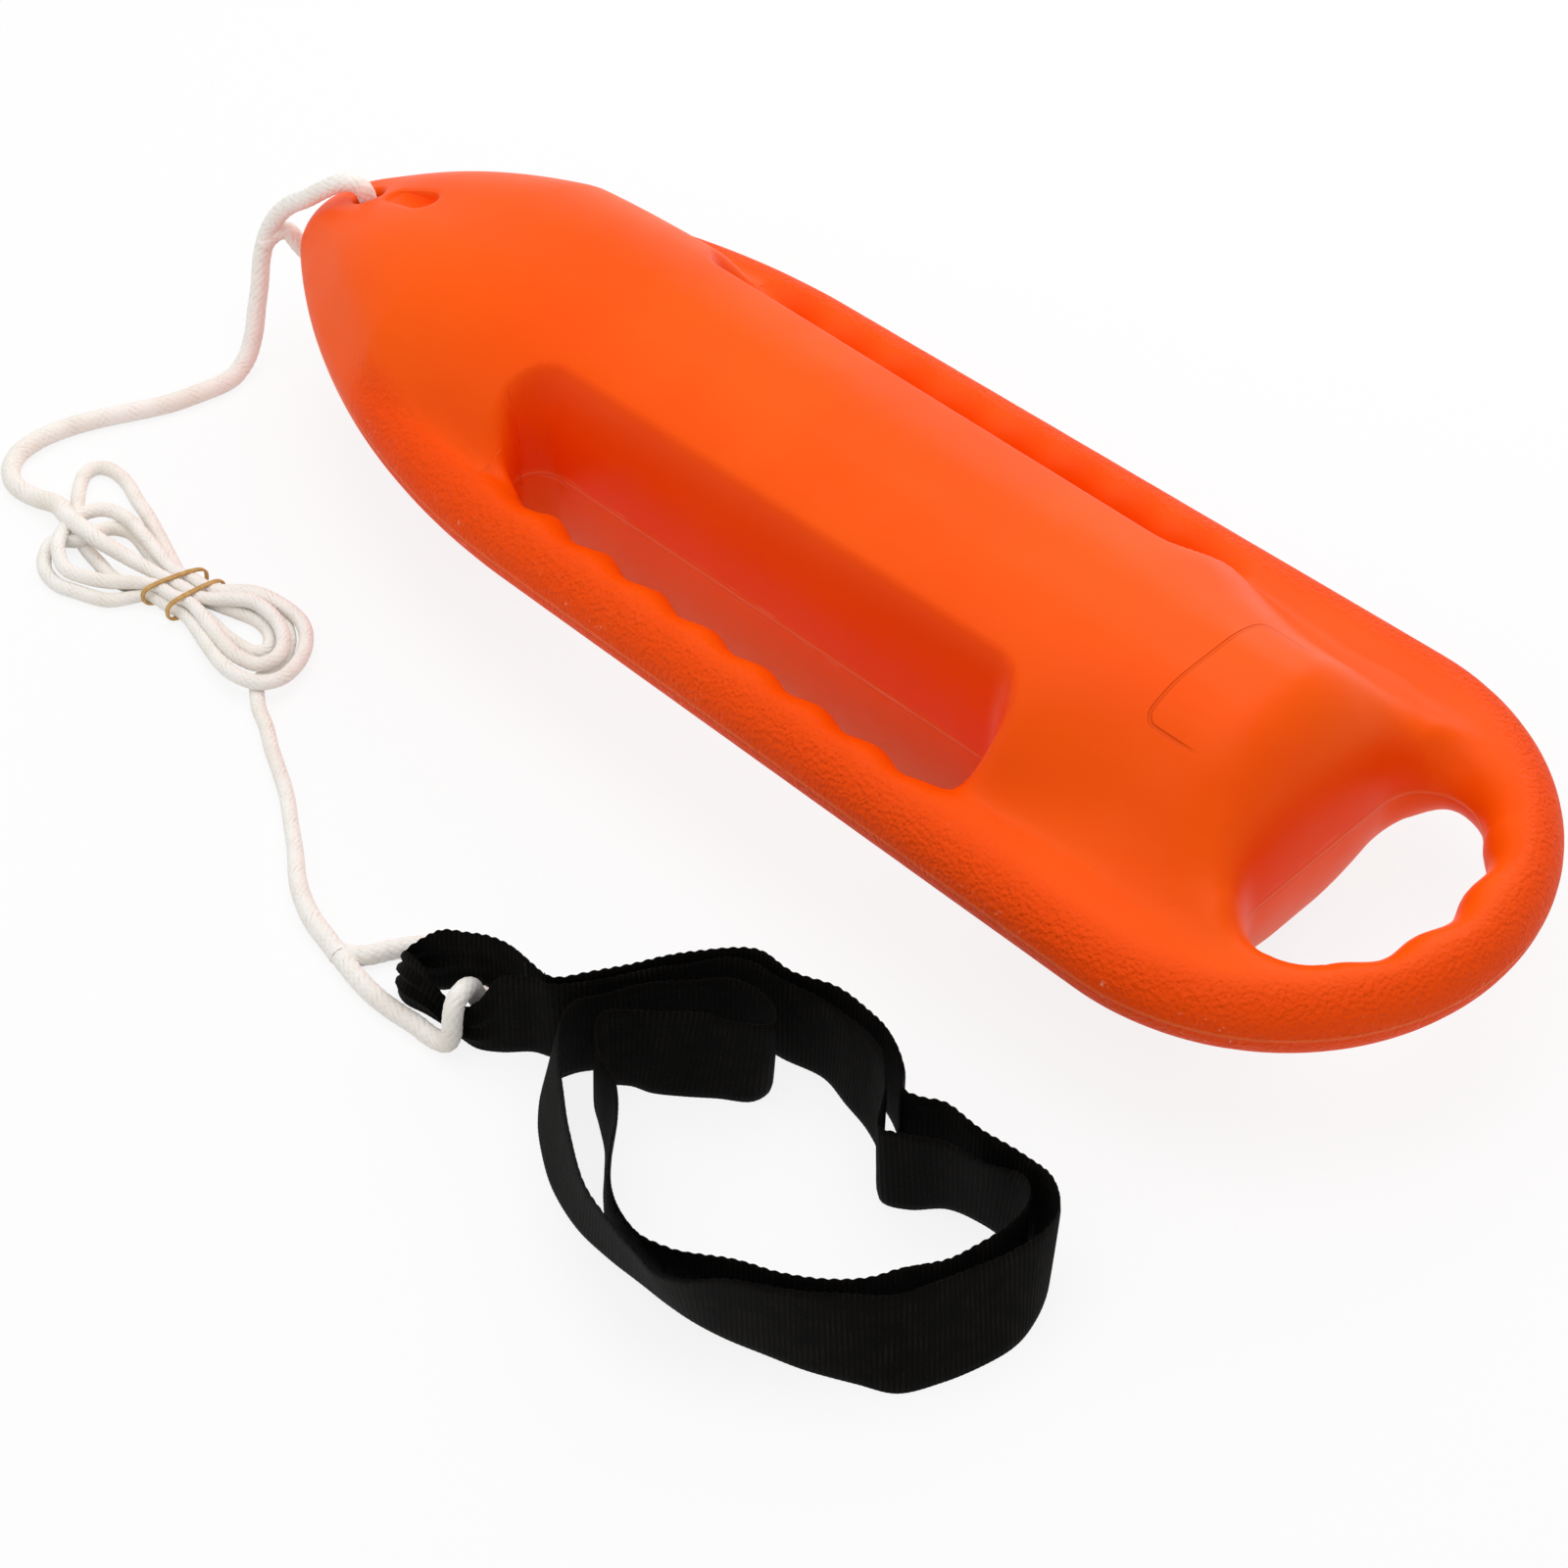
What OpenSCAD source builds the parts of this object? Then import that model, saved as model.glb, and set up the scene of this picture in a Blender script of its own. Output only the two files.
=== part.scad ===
// Rescue can buoy: a blow-moulded torpedo float with a rail all round it, two
// side hand slots and a rear handle, a tow line tied up in a hank, and a
// shoulder strap of flat webbing. +X points to the nose, +Z up, and the float
// rests on its belly at z = 0.

/* [Float body] */
// Overall length from the nose tip to the tail
can_l = 720; // [680:5:760]
// Overall width across the tail shoulders
can_w = 250; // [242:1:258]
// Overall height through the middle of the torpedo
can_h = 140; // [120:1:160]
// Inward slope of the long sides toward the nose, in degrees
side_taper = 1.2; // [0.8:0.1:1.8]
// Radius of the long curve that joins the sides to the nose
ogive_r = 370; // [345:5:395]
// Radius of the nose tip seen from above
tip_r = 42; // [36:1:46]
// Half width of the elliptic torpedo section
torpedo_half_w = 90; // [84:1:94]
// Width of the flat along the crown and the belly
crown_flat_w = 24; // [20:1:30]
// Distance from the middle of the float to where the torpedo starts to fall toward the nose
nose_fall_x = 100; // [80:4:124]
// Radius of the fillet between the torpedo and the rim
deck_fillet = 14; // [8:1:20]

/* [Rim and rails] */
// Thickness of the rim, top to bottom
rim_h = 38; // [32:1:44]
// Width of the rail outside each hand slot
rail_w = 34; // [30:1:38]
// Depth of the finger grooves in the rails
groove_depth = 4; // [0:0.5:6]
// Distance between finger grooves along a side rail
groove_pitch = 34; // [30:1:36]
// Angle between finger grooves round the rear handle, in degrees
handle_groove_angle = 23; // [20:1:26]

/* [Hand slots] */
// Number of finger grooves in a side rail, which sets the length of the slot
slot_grooves = 8; // [6:1:8]
// Length of plain rail beyond the grooves, at each end of a slot
slot_margin = 8; // [6:1:12]
// Distance of the middle of the slots in front of the middle of the float
slot_mid_x = 8; // [0:1:16]
// Half width of the torpedo between the two slots
slot_foot_w = 57; // [52:1:60]
// Corner radius of the slots
slot_corner_r = 13; // [10:1:13]
// Width of the rounded shoulder above the torpedo's side walls
wall_round = 25; // [18:1:30]

/* [Rear handle] */
// Distance from the tail to the torpedo's rear wall
handle_reach = 96; // [90:1:104]
// Corner radius of the handle opening
handle_corner_r = 24; // [20:1:26]
// Length of the rounded shoulder above the torpedo's rear wall
shoulder_round = 40; // [30:1:46]

/* [Tow eye] */
// Radius of the tow hole through the nose
tow_hole_r = 7; // [6.5:0.5:8]
// Distance from the nose tip to the axis of the tow hole
tow_inset = 32; // [30:0.5:34]
// Radius of the tow hole's flared mouths
tow_mouth_r = 10; // [9:0.5:11]
// Depth of each flare
tow_mouth_depth = 5; // [3:0.5:7]
// Length of the pocket behind the tow hole
pocket_l = 34; // [28:1:38]
// Radius of the pocket's round bottom
pocket_r = 8; // [7:0.5:9]
// Depth of the pocket at its deep end, behind
pocket_depth = 9; // [6:0.5:11]
// Thickness of the bridge between the tow hole and the pocket
bridge_t = 6; // [4:0.5:8]

/* [Tow line] */
// Diameter of the tow rope
rope_d = 7; // [6:0.5:8]
// Diameter of the rope where its tail is spliced back inside it
splice_d = 9; // [8:0.5:9.5]
// Height of the tied hank, two ropes deep
hank_h = 14; // [12:1:16]
// Width of the rubber band
band_w = 2.4; // [1.5:0.1:4]
// Thickness of the rubber band
band_t = 1.2; // [0.8:0.1:1.6]
// Distance between the band's two turns
band_pitch = 13.5; // [12:0.5:14]

/* [Shoulder strap] */
// Width of the strap webbing, which stands on its edge
webbing_w = 50; // [40:1:60]
// Thickness of the strap webbing
webbing_t = 1.8; // [1.4:0.1:2.2]
// Clearance between the rubber band and the rope under it
band_gap = 0.2; // [0.1:0.05:0.4]
// Height of the crumpled webbing where the rope crosses over it
pinch_h = 20; // [16:1:20]

/* [Hidden] */
FLOAT = "orangered";
ROPE = "white";
WEBBING = "dimgray";
BAND = "burlywood";

mid_z = can_h / 2;
rim_z = rim_h / 2;
tail_r = can_w / 2;
tail_c = [-can_l / 2 + tail_r, 0];
tip_c = [can_l / 2 - tip_r, 0];
side_n = [sin(side_taper), cos(side_taper)];
side_dir = [cos(side_taper), -sin(side_taper)];
side_start = tail_c + tail_r * side_n;
// The ogive arc touches the side line and the tip circle: its centre slides
// along the side until the two circles touch from inside.
ogive_from = side_start - ogive_r * side_n - tip_c;
ogive_b = side_dir * ogive_from;
ogive_slide = -ogive_b - sqrt(ogive_b * ogive_b - ogive_from * ogive_from + pow(ogive_r - tip_r, 2));
side_end = side_start + ogive_slide * side_dir;
ogive_c = side_end - ogive_r * side_n;
tip_angle = atan2(tip_c[1] - ogive_c[1], tip_c[0] - ogive_c[0]);

slot_l = slot_grooves * groove_pitch + 2 * slot_margin;
slot_back_x = slot_mid_x - slot_l / 2;
slot_front_x = slot_mid_x + slot_l / 2;
wall_x = -can_l / 2 + handle_reach;
grip_r = tail_r - rail_w;
// Centre of the handle opening's corner circle, on the far side of the wall
corner_ring = grip_r - handle_corner_r;
corner_x = wall_x - handle_corner_r;
corner_y = sqrt(pow(corner_ring, 2) - pow(corner_x - tail_c[0], 2));
corner_angle = atan2(corner_y, corner_x - tail_c[0]);
tow_x = can_l / 2 - tow_inset;

// Quarter-ellipse rise from 0 at an edge to 1 at one radius inside it
function rise(t) = t <= 0 ? 0 : t >= 1 ? 1 : sqrt(1 - (1 - t) * (1 - t));
function clamp(t) = max(0, min(1, t));
function mix(a, b, t) = a + (b - a) * t;
function ease(t) = let(c = clamp(t)) c * c * (3 - 2 * c);
// Larger of two heights, with a fillet where they meet
function filleted(a, b, k) = let(h = clamp(0.5 + 0.5 * (a - b) / k)) mix(b, a, h) + k * h * (1 - h);
function polar(c, r, a) = c + r * [cos(a), sin(a)];

// Distance inward from the outline, on the side of positive y
function inset(p) =
    (p - tail_c) * side_dir < 0 && (p - side_start) * side_dir < 0 ? tail_r - norm(p - tail_c)
    : (p - side_end) * side_dir < 0 ? (side_start - p) * side_n
    : atan2(p[1] - ogive_c[1], p[0] - ogive_c[0]) > tip_angle ? ogive_r - norm(p - ogive_c)
    : tip_r - norm(p - tip_c);

// Half width of the outline ahead of the tail arc
function half_width(x) =
    x < side_end[0] ? side_start[1] - (x - side_start[0]) * tan(side_taper)
    : x < tip_c[0] + tip_r * cos(tip_angle) ? ogive_c[1] + sqrt(pow(ogive_r, 2) - pow(x - ogive_c[0], 2))
    : sqrt(max(0, pow(tip_r, 2) - pow(x - tip_c[0], 2)));

// Finger grooves: cosine waves that fade out beyond the grooved length
function side_groove(x) = let(u = (x - slot_mid_x) / groove_pitch, n = slot_grooves / 2)
    groove_depth * (0.5 - 0.5 * cos(360 * (u + n))) * ease((n - abs(u)) * 4 + 1);
function handle_groove(a) = let(u = (180 - a) / handle_groove_angle)
    groove_depth * (0.5 + 0.5 * cos(360 * u)) * ease((1.5 - u) * 4 + 1);
function rail_edge(x) = half_width(x) - rail_w + side_groove(x);

// Signed distance outward from a hand slot and from the handle opening
function from_slot(p) =
    let(u = abs(p[0] - slot_mid_x) - slot_l / 2 + slot_corner_r,
        v = max(slot_foot_w - p[1], p[1] - rail_edge(p[0])) + slot_corner_r)
    norm([max(u, 0), max(v, 0)]) + min(max(u, v), 0) - slot_corner_r;
function from_handle(p) =
    let(q = p - tail_c, a = atan2(q[1], q[0]),
        past_wall = p[0] - corner_x, ring = norm(q) - corner_ring - handle_groove(a))
    (a > corner_angle && past_wall < 0 ? ring
     : p[1] < corner_y ? max(past_wall, -handle_corner_r)
     : norm([past_wall, p[1] - corner_y])) - handle_corner_r;

// Height of the torpedo over the parting plane. It falls away to the nose along
// a superellipse, and narrows a little behind the slots.
NOSE_FALL = 3;
NOSE_BLUNT = 0.82;
NOSE_FULLNESS = 0.81;
TAIL_NARROWING = 0.2;
TAIL_NARROWING_START = 50;
TAIL_NARROWING_L = 80;
function torpedo(x, y) =
    x < wall_x ? 0 : let(fall = clamp((x - nose_fall_x) / (can_l / 2 - nose_fall_x)),
        h = mid_z * pow(1 - pow(fall, NOSE_FALL), NOSE_BLUNT),
        tail_pull = TAIL_NARROWING * ease((slot_back_x - TAIL_NARROWING_START - x) / TAIL_NARROWING_L),
        wide = min(torpedo_half_w, NOSE_FULLNESS * half_width(max(x, side_start[0]))) * (1 - tail_pull),
        flat = min(crown_flat_w, wide) / 2,
        t = clamp((y - flat) / (wide - flat + 0.01)))
    h * sqrt(1 - t * t);

// Height of the float's skin over the parting plane, at a point with y >= 0.
// The rounding changes from the torpedo's to the rail's across the slot.
ROUNDING_CHANGE_W = 30;
function skin(p) =
    let(slot_round = mix(wall_round, rail_w / 2, clamp((p[1] - slot_foot_w) / ROUNDING_CHANGE_W)),
        reach = norm(p - tail_c),
        handle_round = mix(shoulder_round, rail_w / 2, clamp((reach - corner_ring) / handle_corner_r)))
    filleted(rim_z, torpedo(p[0], p[1]), deck_fillet) * rise(inset(p) / rim_z)
    * rise(from_slot(p) / slot_round) * rise(from_handle(p) / handle_round);

// The skin is a grid. Each station is a spoke from the outline [0], over the
// rail's inner edge [1] and the torpedo's foot [2], to the spine [3].
// Its fifth value says whether the spoke crosses an opening.
HANDLE_STEPS = 12;
CORNER_STEPS = 4;
SHOULDER_STEPS = 4;
SIDE_STEPS = 4;
END_STEPS = 3;
WAVE_STEPS = 4;
NOSE_STEPS = 11;
TIP_STEPS = 5;
// The handle opening ends just short of where its corner circle does
PINCH_SHARE = 0.975;
pinch_angle = corner_angle - asin(handle_corner_r / corner_ring) * PINCH_SHARE;
spine_tail_x = wall_x + 12;
spine_side_x = side_start[0] + 30;
SPINE_TIP_GAP = 4;
// Where a nose spoke's rail and foot points lie on it, from the slots to the tip
NOSE_RAIL_SHARE = [0.42, 0.3];
NOSE_FOOT_SHARE = [0.55, 0.5];

function corner_half(a) = let(s = corner_ring * sin(corner_angle - a))
    sqrt(max(0, pow(handle_corner_r, 2) - s * s));
function grip_edge(a) = (a > corner_angle ? grip_r
    : corner_ring * cos(corner_angle - a) + corner_half(a)) + handle_groove(a);
function wall_edge(a) = let(wall = (wall_x - tail_c[0]) / cos(a))
    wall * sin(a) < corner_y ? wall : corner_ring * cos(corner_angle - a) - corner_half(a);
function handle_station(a) = [polar(tail_c, tail_r, a), polar(tail_c, grip_edge(a), a),
    polar(tail_c, wall_edge(a), a),
    [mix(spine_tail_x, spine_side_x, (180 - a) / (90 + side_taper)), 0], true];
function shoulder_station(a) = let(t = (pinch_angle - a) / (pinch_angle - 90 + side_taper))
    [polar(tail_c, tail_r, a), polar(tail_c, mix(grip_edge(pinch_angle), grip_r, ease(t)), a),
     polar(tail_c, mix(wall_edge(pinch_angle), slot_foot_w, ease(t)), a),
     [mix(spine_tail_x, spine_side_x, (180 - a) / (90 + side_taper)), 0], false];
function side_station(t) = let(x = mix(side_start[0], slot_back_x, t), w = half_width(x))
    [[x, w], [x, w - rail_w - slot_corner_r * ease(t)], [x, slot_foot_w + slot_corner_r * ease(t)],
     [mix(spine_side_x, slot_back_x, t), 0], false];
function slot_station(x) =
    let(e = slot_l / 2 - abs(x - slot_mid_x), c = max(0, slot_corner_r - e),
        bite = slot_corner_r - sqrt(pow(slot_corner_r, 2) - c * c))
    [[x, half_width(x)], [x, rail_edge(x) - bite], [x, slot_foot_w + bite], [x, 0], true];
function nose_station(p) =
    let(t = (p[0] - slot_front_x) / (can_l / 2 - slot_front_x),
        spine = [mix(slot_front_x, tow_x + SPINE_TIP_GAP, t), 0])
    [p, mix(p, spine, mix(NOSE_RAIL_SHARE[0], NOSE_RAIL_SHARE[1], t)),
     mix(p, spine, mix(NOSE_FOOT_SHARE[0], NOSE_FOOT_SHARE[1], t)), spine, false];

ogive_start_angle = acos((slot_front_x - ogive_c[0]) / ogive_r);
half_stations = [
    for (i = [0 : HANDLE_STEPS - 1]) handle_station(mix(180, corner_angle, i / HANDLE_STEPS)),
    for (i = [0 : CORNER_STEPS]) handle_station(mix(corner_angle, pinch_angle, sin(90 * i / CORNER_STEPS))),
    for (i = [1 : SHOULDER_STEPS - 1])
        shoulder_station(mix(pinch_angle, 90 - side_taper, i / SHOULDER_STEPS)),
    for (i = [0 : SIDE_STEPS - 1]) side_station(i / SIDE_STEPS),
    for (i = [0 : END_STEPS - 1])
        slot_station(slot_back_x + slot_margin * (1 - cos(90 * i / END_STEPS))),
    for (i = [0 : slot_grooves * WAVE_STEPS])
        slot_station(slot_back_x + slot_margin + groove_pitch * i / WAVE_STEPS),
    for (i = [END_STEPS - 1 : -1 : 0])
        slot_station(slot_front_x - slot_margin * (1 - cos(90 * i / END_STEPS))),
    for (i = [1 : NOSE_STEPS - 1])
        nose_station(polar(ogive_c, ogive_r, mix(ogive_start_angle, tip_angle, i / NOSE_STEPS))),
    for (i = [0 : TIP_STEPS]) nose_station(polar(tip_c, tip_r, mix(tip_angle, 0, i / TIP_STEPS)))];

RAIL_LANES = 6;
GAP_LANES = 2;
BODY_LANES = 7;
LANES = RAIL_LANES + GAP_LANES + BODY_LANES;
half_n = len(half_stations) - 1;
STATIONS = 2 * half_n;

// Point of lane k on a station, counted from the outline to the spine. The
// lanes crowd together where the skin bends most.
BODY_CROWDING = 0.6;
function lane_point(s, k) =
    k <= RAIL_LANES ? mix(s[0], s[1], 0.5 - 0.5 * cos(180 * k / RAIL_LANES))
    : k <= RAIL_LANES + GAP_LANES ? mix(s[1], s[2], (k - RAIL_LANES) / GAP_LANES)
    : let(t = (k - RAIL_LANES - GAP_LANES) / BODY_LANES)
      mix(s[2], s[3], t * t * (1 + BODY_CROWDING * (1 - t)));
function station(i) = half_stations[i <= half_n ? i : STATIONS - i];
function side_of(i) = i <= half_n ? 1 : -1;
function in_gap(k) = k >= RAIL_LANES && k <= RAIL_LANES + GAP_LANES;
function is_open(i) = station((i + STATIONS) % STATIONS)[4];
function is_edge(i, k) = k == 0 || (in_gap(k) && is_open(i));
function skin_point(i, k, up) =
    let(p = lane_point(station(i), k))
    [p[0], side_of(i) * p[1], mid_z + up * (is_edge(i, k) ? 0 : skin(p))];

// Vertices: the top skin, then the belly. The belly shares the top's vertices
// at the outline and round the openings, and both skins share their spine.
function top_index(i, k) = let(j = (i + STATIONS) % STATIONS)
    (k == LANES && j > half_n ? STATIONS - j : j) * (LANES + 1) + k;
function belly_index(i, k) = is_edge(i, k) ? top_index(i, k) : top_index(i, k) + STATIONS * (LANES + 1);
function is_hole(i, k) = k >= RAIL_LANES && k < RAIL_LANES + GAP_LANES && is_open(i) && is_open(i + 1);

module float_skin() {
    cells = [for (i = [0 : STATIONS - 1]) for (k = [0 : LANES - 1]) if (!is_hole(i, k)) [i, k]];
    polyhedron(
        points = concat(
            [for (i = [0 : STATIONS - 1]) for (k = [0 : LANES]) skin_point(i, k, 1)],
            [for (i = [0 : STATIONS - 1]) for (k = [0 : LANES]) skin_point(i, k, -1)]),
        faces = concat(
            [for (c = cells) each
                let(a = top_index(c[0], c[1]), b = top_index(c[0] + 1, c[1]),
                    d = top_index(c[0] + 1, c[1] + 1), e = top_index(c[0], c[1] + 1))
                [[a, b, d], [a, d, e]]],
            [for (c = cells) each
                let(a = belly_index(c[0], c[1]), b = belly_index(c[0] + 1, c[1]),
                    d = belly_index(c[0] + 1, c[1] + 1), e = belly_index(c[0], c[1] + 1))
                [[a, d, b], [a, e, d]]]));
}

// Height of the crown at a distance along the spine
function crown(x) = mid_z + skin([x, 0]);

// One mouth of the tow hole and the pocket behind it, in the upper half. The
// pocket runs out to nothing toward the tow hole.
POCKET_RISE = 0.6;
module nose_cuts() {
    flare = crown(tow_x) - tow_mouth_depth;
    shallow_x = tow_x - tow_hole_r - bridge_t - pocket_r;
    deep_x = shallow_x - pocket_l + 2 * pocket_r;
    translate([tow_x, 0, flare])
        cylinder(h = 2 * tow_mouth_depth, r1 = tow_hole_r, r2 = 2 * tow_mouth_r - tow_hole_r, $fn = 48);
    hull() {
        translate([shallow_x, 0, crown(shallow_x) + POCKET_RISE * pocket_r]) sphere(pocket_r, $fn = 20);
        translate([deep_x, 0, crown(deep_x) + pocket_r - pocket_depth]) sphere(pocket_r, $fn = 20);
    }
}

module float_body() color(FLOAT) difference() {
    float_skin();
    translate([tow_x, 0, 0]) cylinder(h = can_h, r = tow_hole_r, $fn = 48);
    nose_cuts();
    translate([0, 0, can_h]) mirror([0, 0, 1]) nose_cuts();
}

// The tow line's route from the tucked end of the nose splice, through the tow
// hole and over the nose to the splice's throat, then along the floor to the hank
NOSE_ROUTE = [[371, 18, 63], [366, 15, 55], [359, 12, 48], [350, 9, 42], [340, 6, 35], [331, 2, 32],
    [328, 0, 43], [328, 0, 57], [328, 0, 72], [328, 0, 88], [330, 2, 102], [337, 7, 105], [346, 12, 99],
    [356, 16, 90], [366, 19, 82], [373, 22, 73], [377, 26, 62], [377, 31, 50], [374, 36, 39],
    [371, 42, 28]];
UPPER_ROUTE = [[371, 42, 28], [367, 49, 17], [364, 58, 8], [362, 72, 4], [365, 87, 4], [370, 103, 4],
    [378, 119, 4], [386, 134, 4], [392, 149, 4], [395, 163, 4], [394, 177, 4], [387, 188, 4], [376, 193, 4],
    [362, 192, 4], [349, 187, 4]];
LOWER_ROUTE = [[196, 204, 4], [180, 212, 4], [168, 218, 4], [155, 226, 4], [142, 233, 4], [128, 241, 4],
    [114, 251, 4], [100, 261, 4], [86, 272, 4], [74, 279, 4], [62, 284, 4], [50, 287, 4], [38, 290, 5]];
STRAP_EYE_ROUTE = [[38, 290, 5], [25, 293, 5], [11, 295, 5], [-2, 295, 5], [-14, 294, 5], [-24, 294, 5],
    [-32, 293, 7], [-35, 292, 14], [-35, 291, 22], [-33, 287, 28], [-31, 280, 29], [-29, 274, 24],
    [-28, 271, 16], [-26, 267, 9], [-22, 259, 5], [-13, 253, 5], [-2, 251, 5], [9, 254, 5], [18, 262, 5],
    [25, 272, 5], [30, 281, 5]];

function unit(v) = v / norm(v);
function heading(route, i) = unit(route[min(i + 1, len(route) - 1)] - route[max(i - 1, 0)]);

// Round tube along part of a route, from point a to point b
SIDES = 8;
module tube(route, a, b, d, over) {
    rings = [for (i = [a : b])
        let(t = heading(route, i), side = unit(cross(t, over)), lift = cross(side, t))
        for (k = [0 : SIDES - 1]) let(turn = 360 * k / SIDES)
            route[i] + d / 2 * (cos(turn) * side + sin(turn) * lift)];
    n = b - a;
    polyhedron(rings, concat(
        [[for (k = [SIDES - 1 : -1 : 0]) k]],
        [for (i = [0 : n - 1]) for (k = [0 : SIDES - 1])
            let(j = (k + 1) % SIDES, u = i * SIDES, v = u + SIDES)
            each [[u + k, v + j, v + k], [u + k, u + j, v + j]]],
        [[for (k = [0 : SIDES - 1]) n * SIDES + k]]));
}
nose_line = concat(NOSE_ROUTE, [for (i = [1 : len(UPPER_ROUTE) - 1]) UPPER_ROUTE[i]]);
strap_line = concat(LOWER_ROUTE, [for (i = [1 : len(STRAP_EYE_ROUTE) - 1]) STRAP_EYE_ROUTE[i]]);
throat_at = len(NOSE_ROUTE) - 1;
eye_at = len(LOWER_ROUTE) - 1;
across_nose = [-1, 2, 0];
upward = [0, 0, 1];

module nose_eye() color(ROPE) tube(nose_line, 0, throat_at, splice_d, across_nose);
module rope_upper_run() color(ROPE) tube(nose_line, throat_at, len(nose_line) - 1, rope_d, across_nose);
module rope_lower_run() color(ROPE) tube(strap_line, 0, eye_at, rope_d, upward);
module strap_eye() color(ROPE) tube(strap_line, eye_at, len(strap_line) - 1, splice_d, upward);

// The hank: two lobes of folded rope, squeezed at the waist by the band
hank_c = [262, 186];
hank_turn = -4;
waist_l = 34;
waist_w = 30;
LOBE_CORNER_R = 8;
LOBE_INSET = 6;
NOSE_LOBE = [[15, -12], [80, -26], [90, -18], [84, 12], [66, 30], [46, 34], [15, 14]];
TAIL_LOBE = [[-15, -10], [-30, -18], [-60, -16], [-72, 0], [-70, 14], [-54, 20], [-15, 12]];
module lobe(outline) linear_extrude(hank_h)
    offset(r = LOBE_CORNER_R, $fn = 24) offset(delta = -LOBE_INSET) polygon(outline);
module rope_hank() color(ROPE) translate([hank_c[0], hank_c[1], 0]) rotate(hank_turn) {
    lobe(NOSE_LOBE);
    lobe(TAIL_LOBE);
    translate([-waist_l / 2, -waist_w / 2, band_t + band_gap])
        cube([waist_l, waist_w, hank_h - 2 * (band_t + band_gap)]);
}

// One turn of the band round the waist of the hank, slanted across it
BAND_TURNS = [20, -6];
BAND_SLACK = 2;
module band_turn(turn) rotate(turn) translate([-band_w / 2, 0, 0]) rotate([90, 0, 90])
    linear_extrude(band_w) translate([0, hank_h / 2]) difference() {
        square([waist_w / cos(turn) + BAND_SLACK + 2 * band_t, hank_h], center = true);
        square([waist_w / cos(turn) + BAND_SLACK, hank_h - 2 * band_t], center = true);
    }
// Under the hank the band crosses from its first turn to its second
CROSSING_Y = 8;
band_places = [band_pitch / 3, -2 / 3 * band_pitch];
function on_turn(i, y) = [band_places[i] - y * tan(BAND_TURNS[i]), y];
module band_crossing() {
    a = on_turn(0, -CROSSING_Y);
    b = on_turn(1, CROSSING_Y);
    translate([a[0], a[1], 0]) rotate(atan2(b[1] - a[1], b[0] - a[0])) translate([0, -band_w / 2, 0])
        cube([norm(b - a), band_w, band_t]);
}
module rubber_band() color(BAND) translate([hank_c[0], hank_c[1], 0]) rotate(hank_turn) {
    for (i = [0, 1]) translate([band_places[i], 0, 0]) band_turn(BAND_TURNS[i]);
    band_crossing();
}

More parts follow.
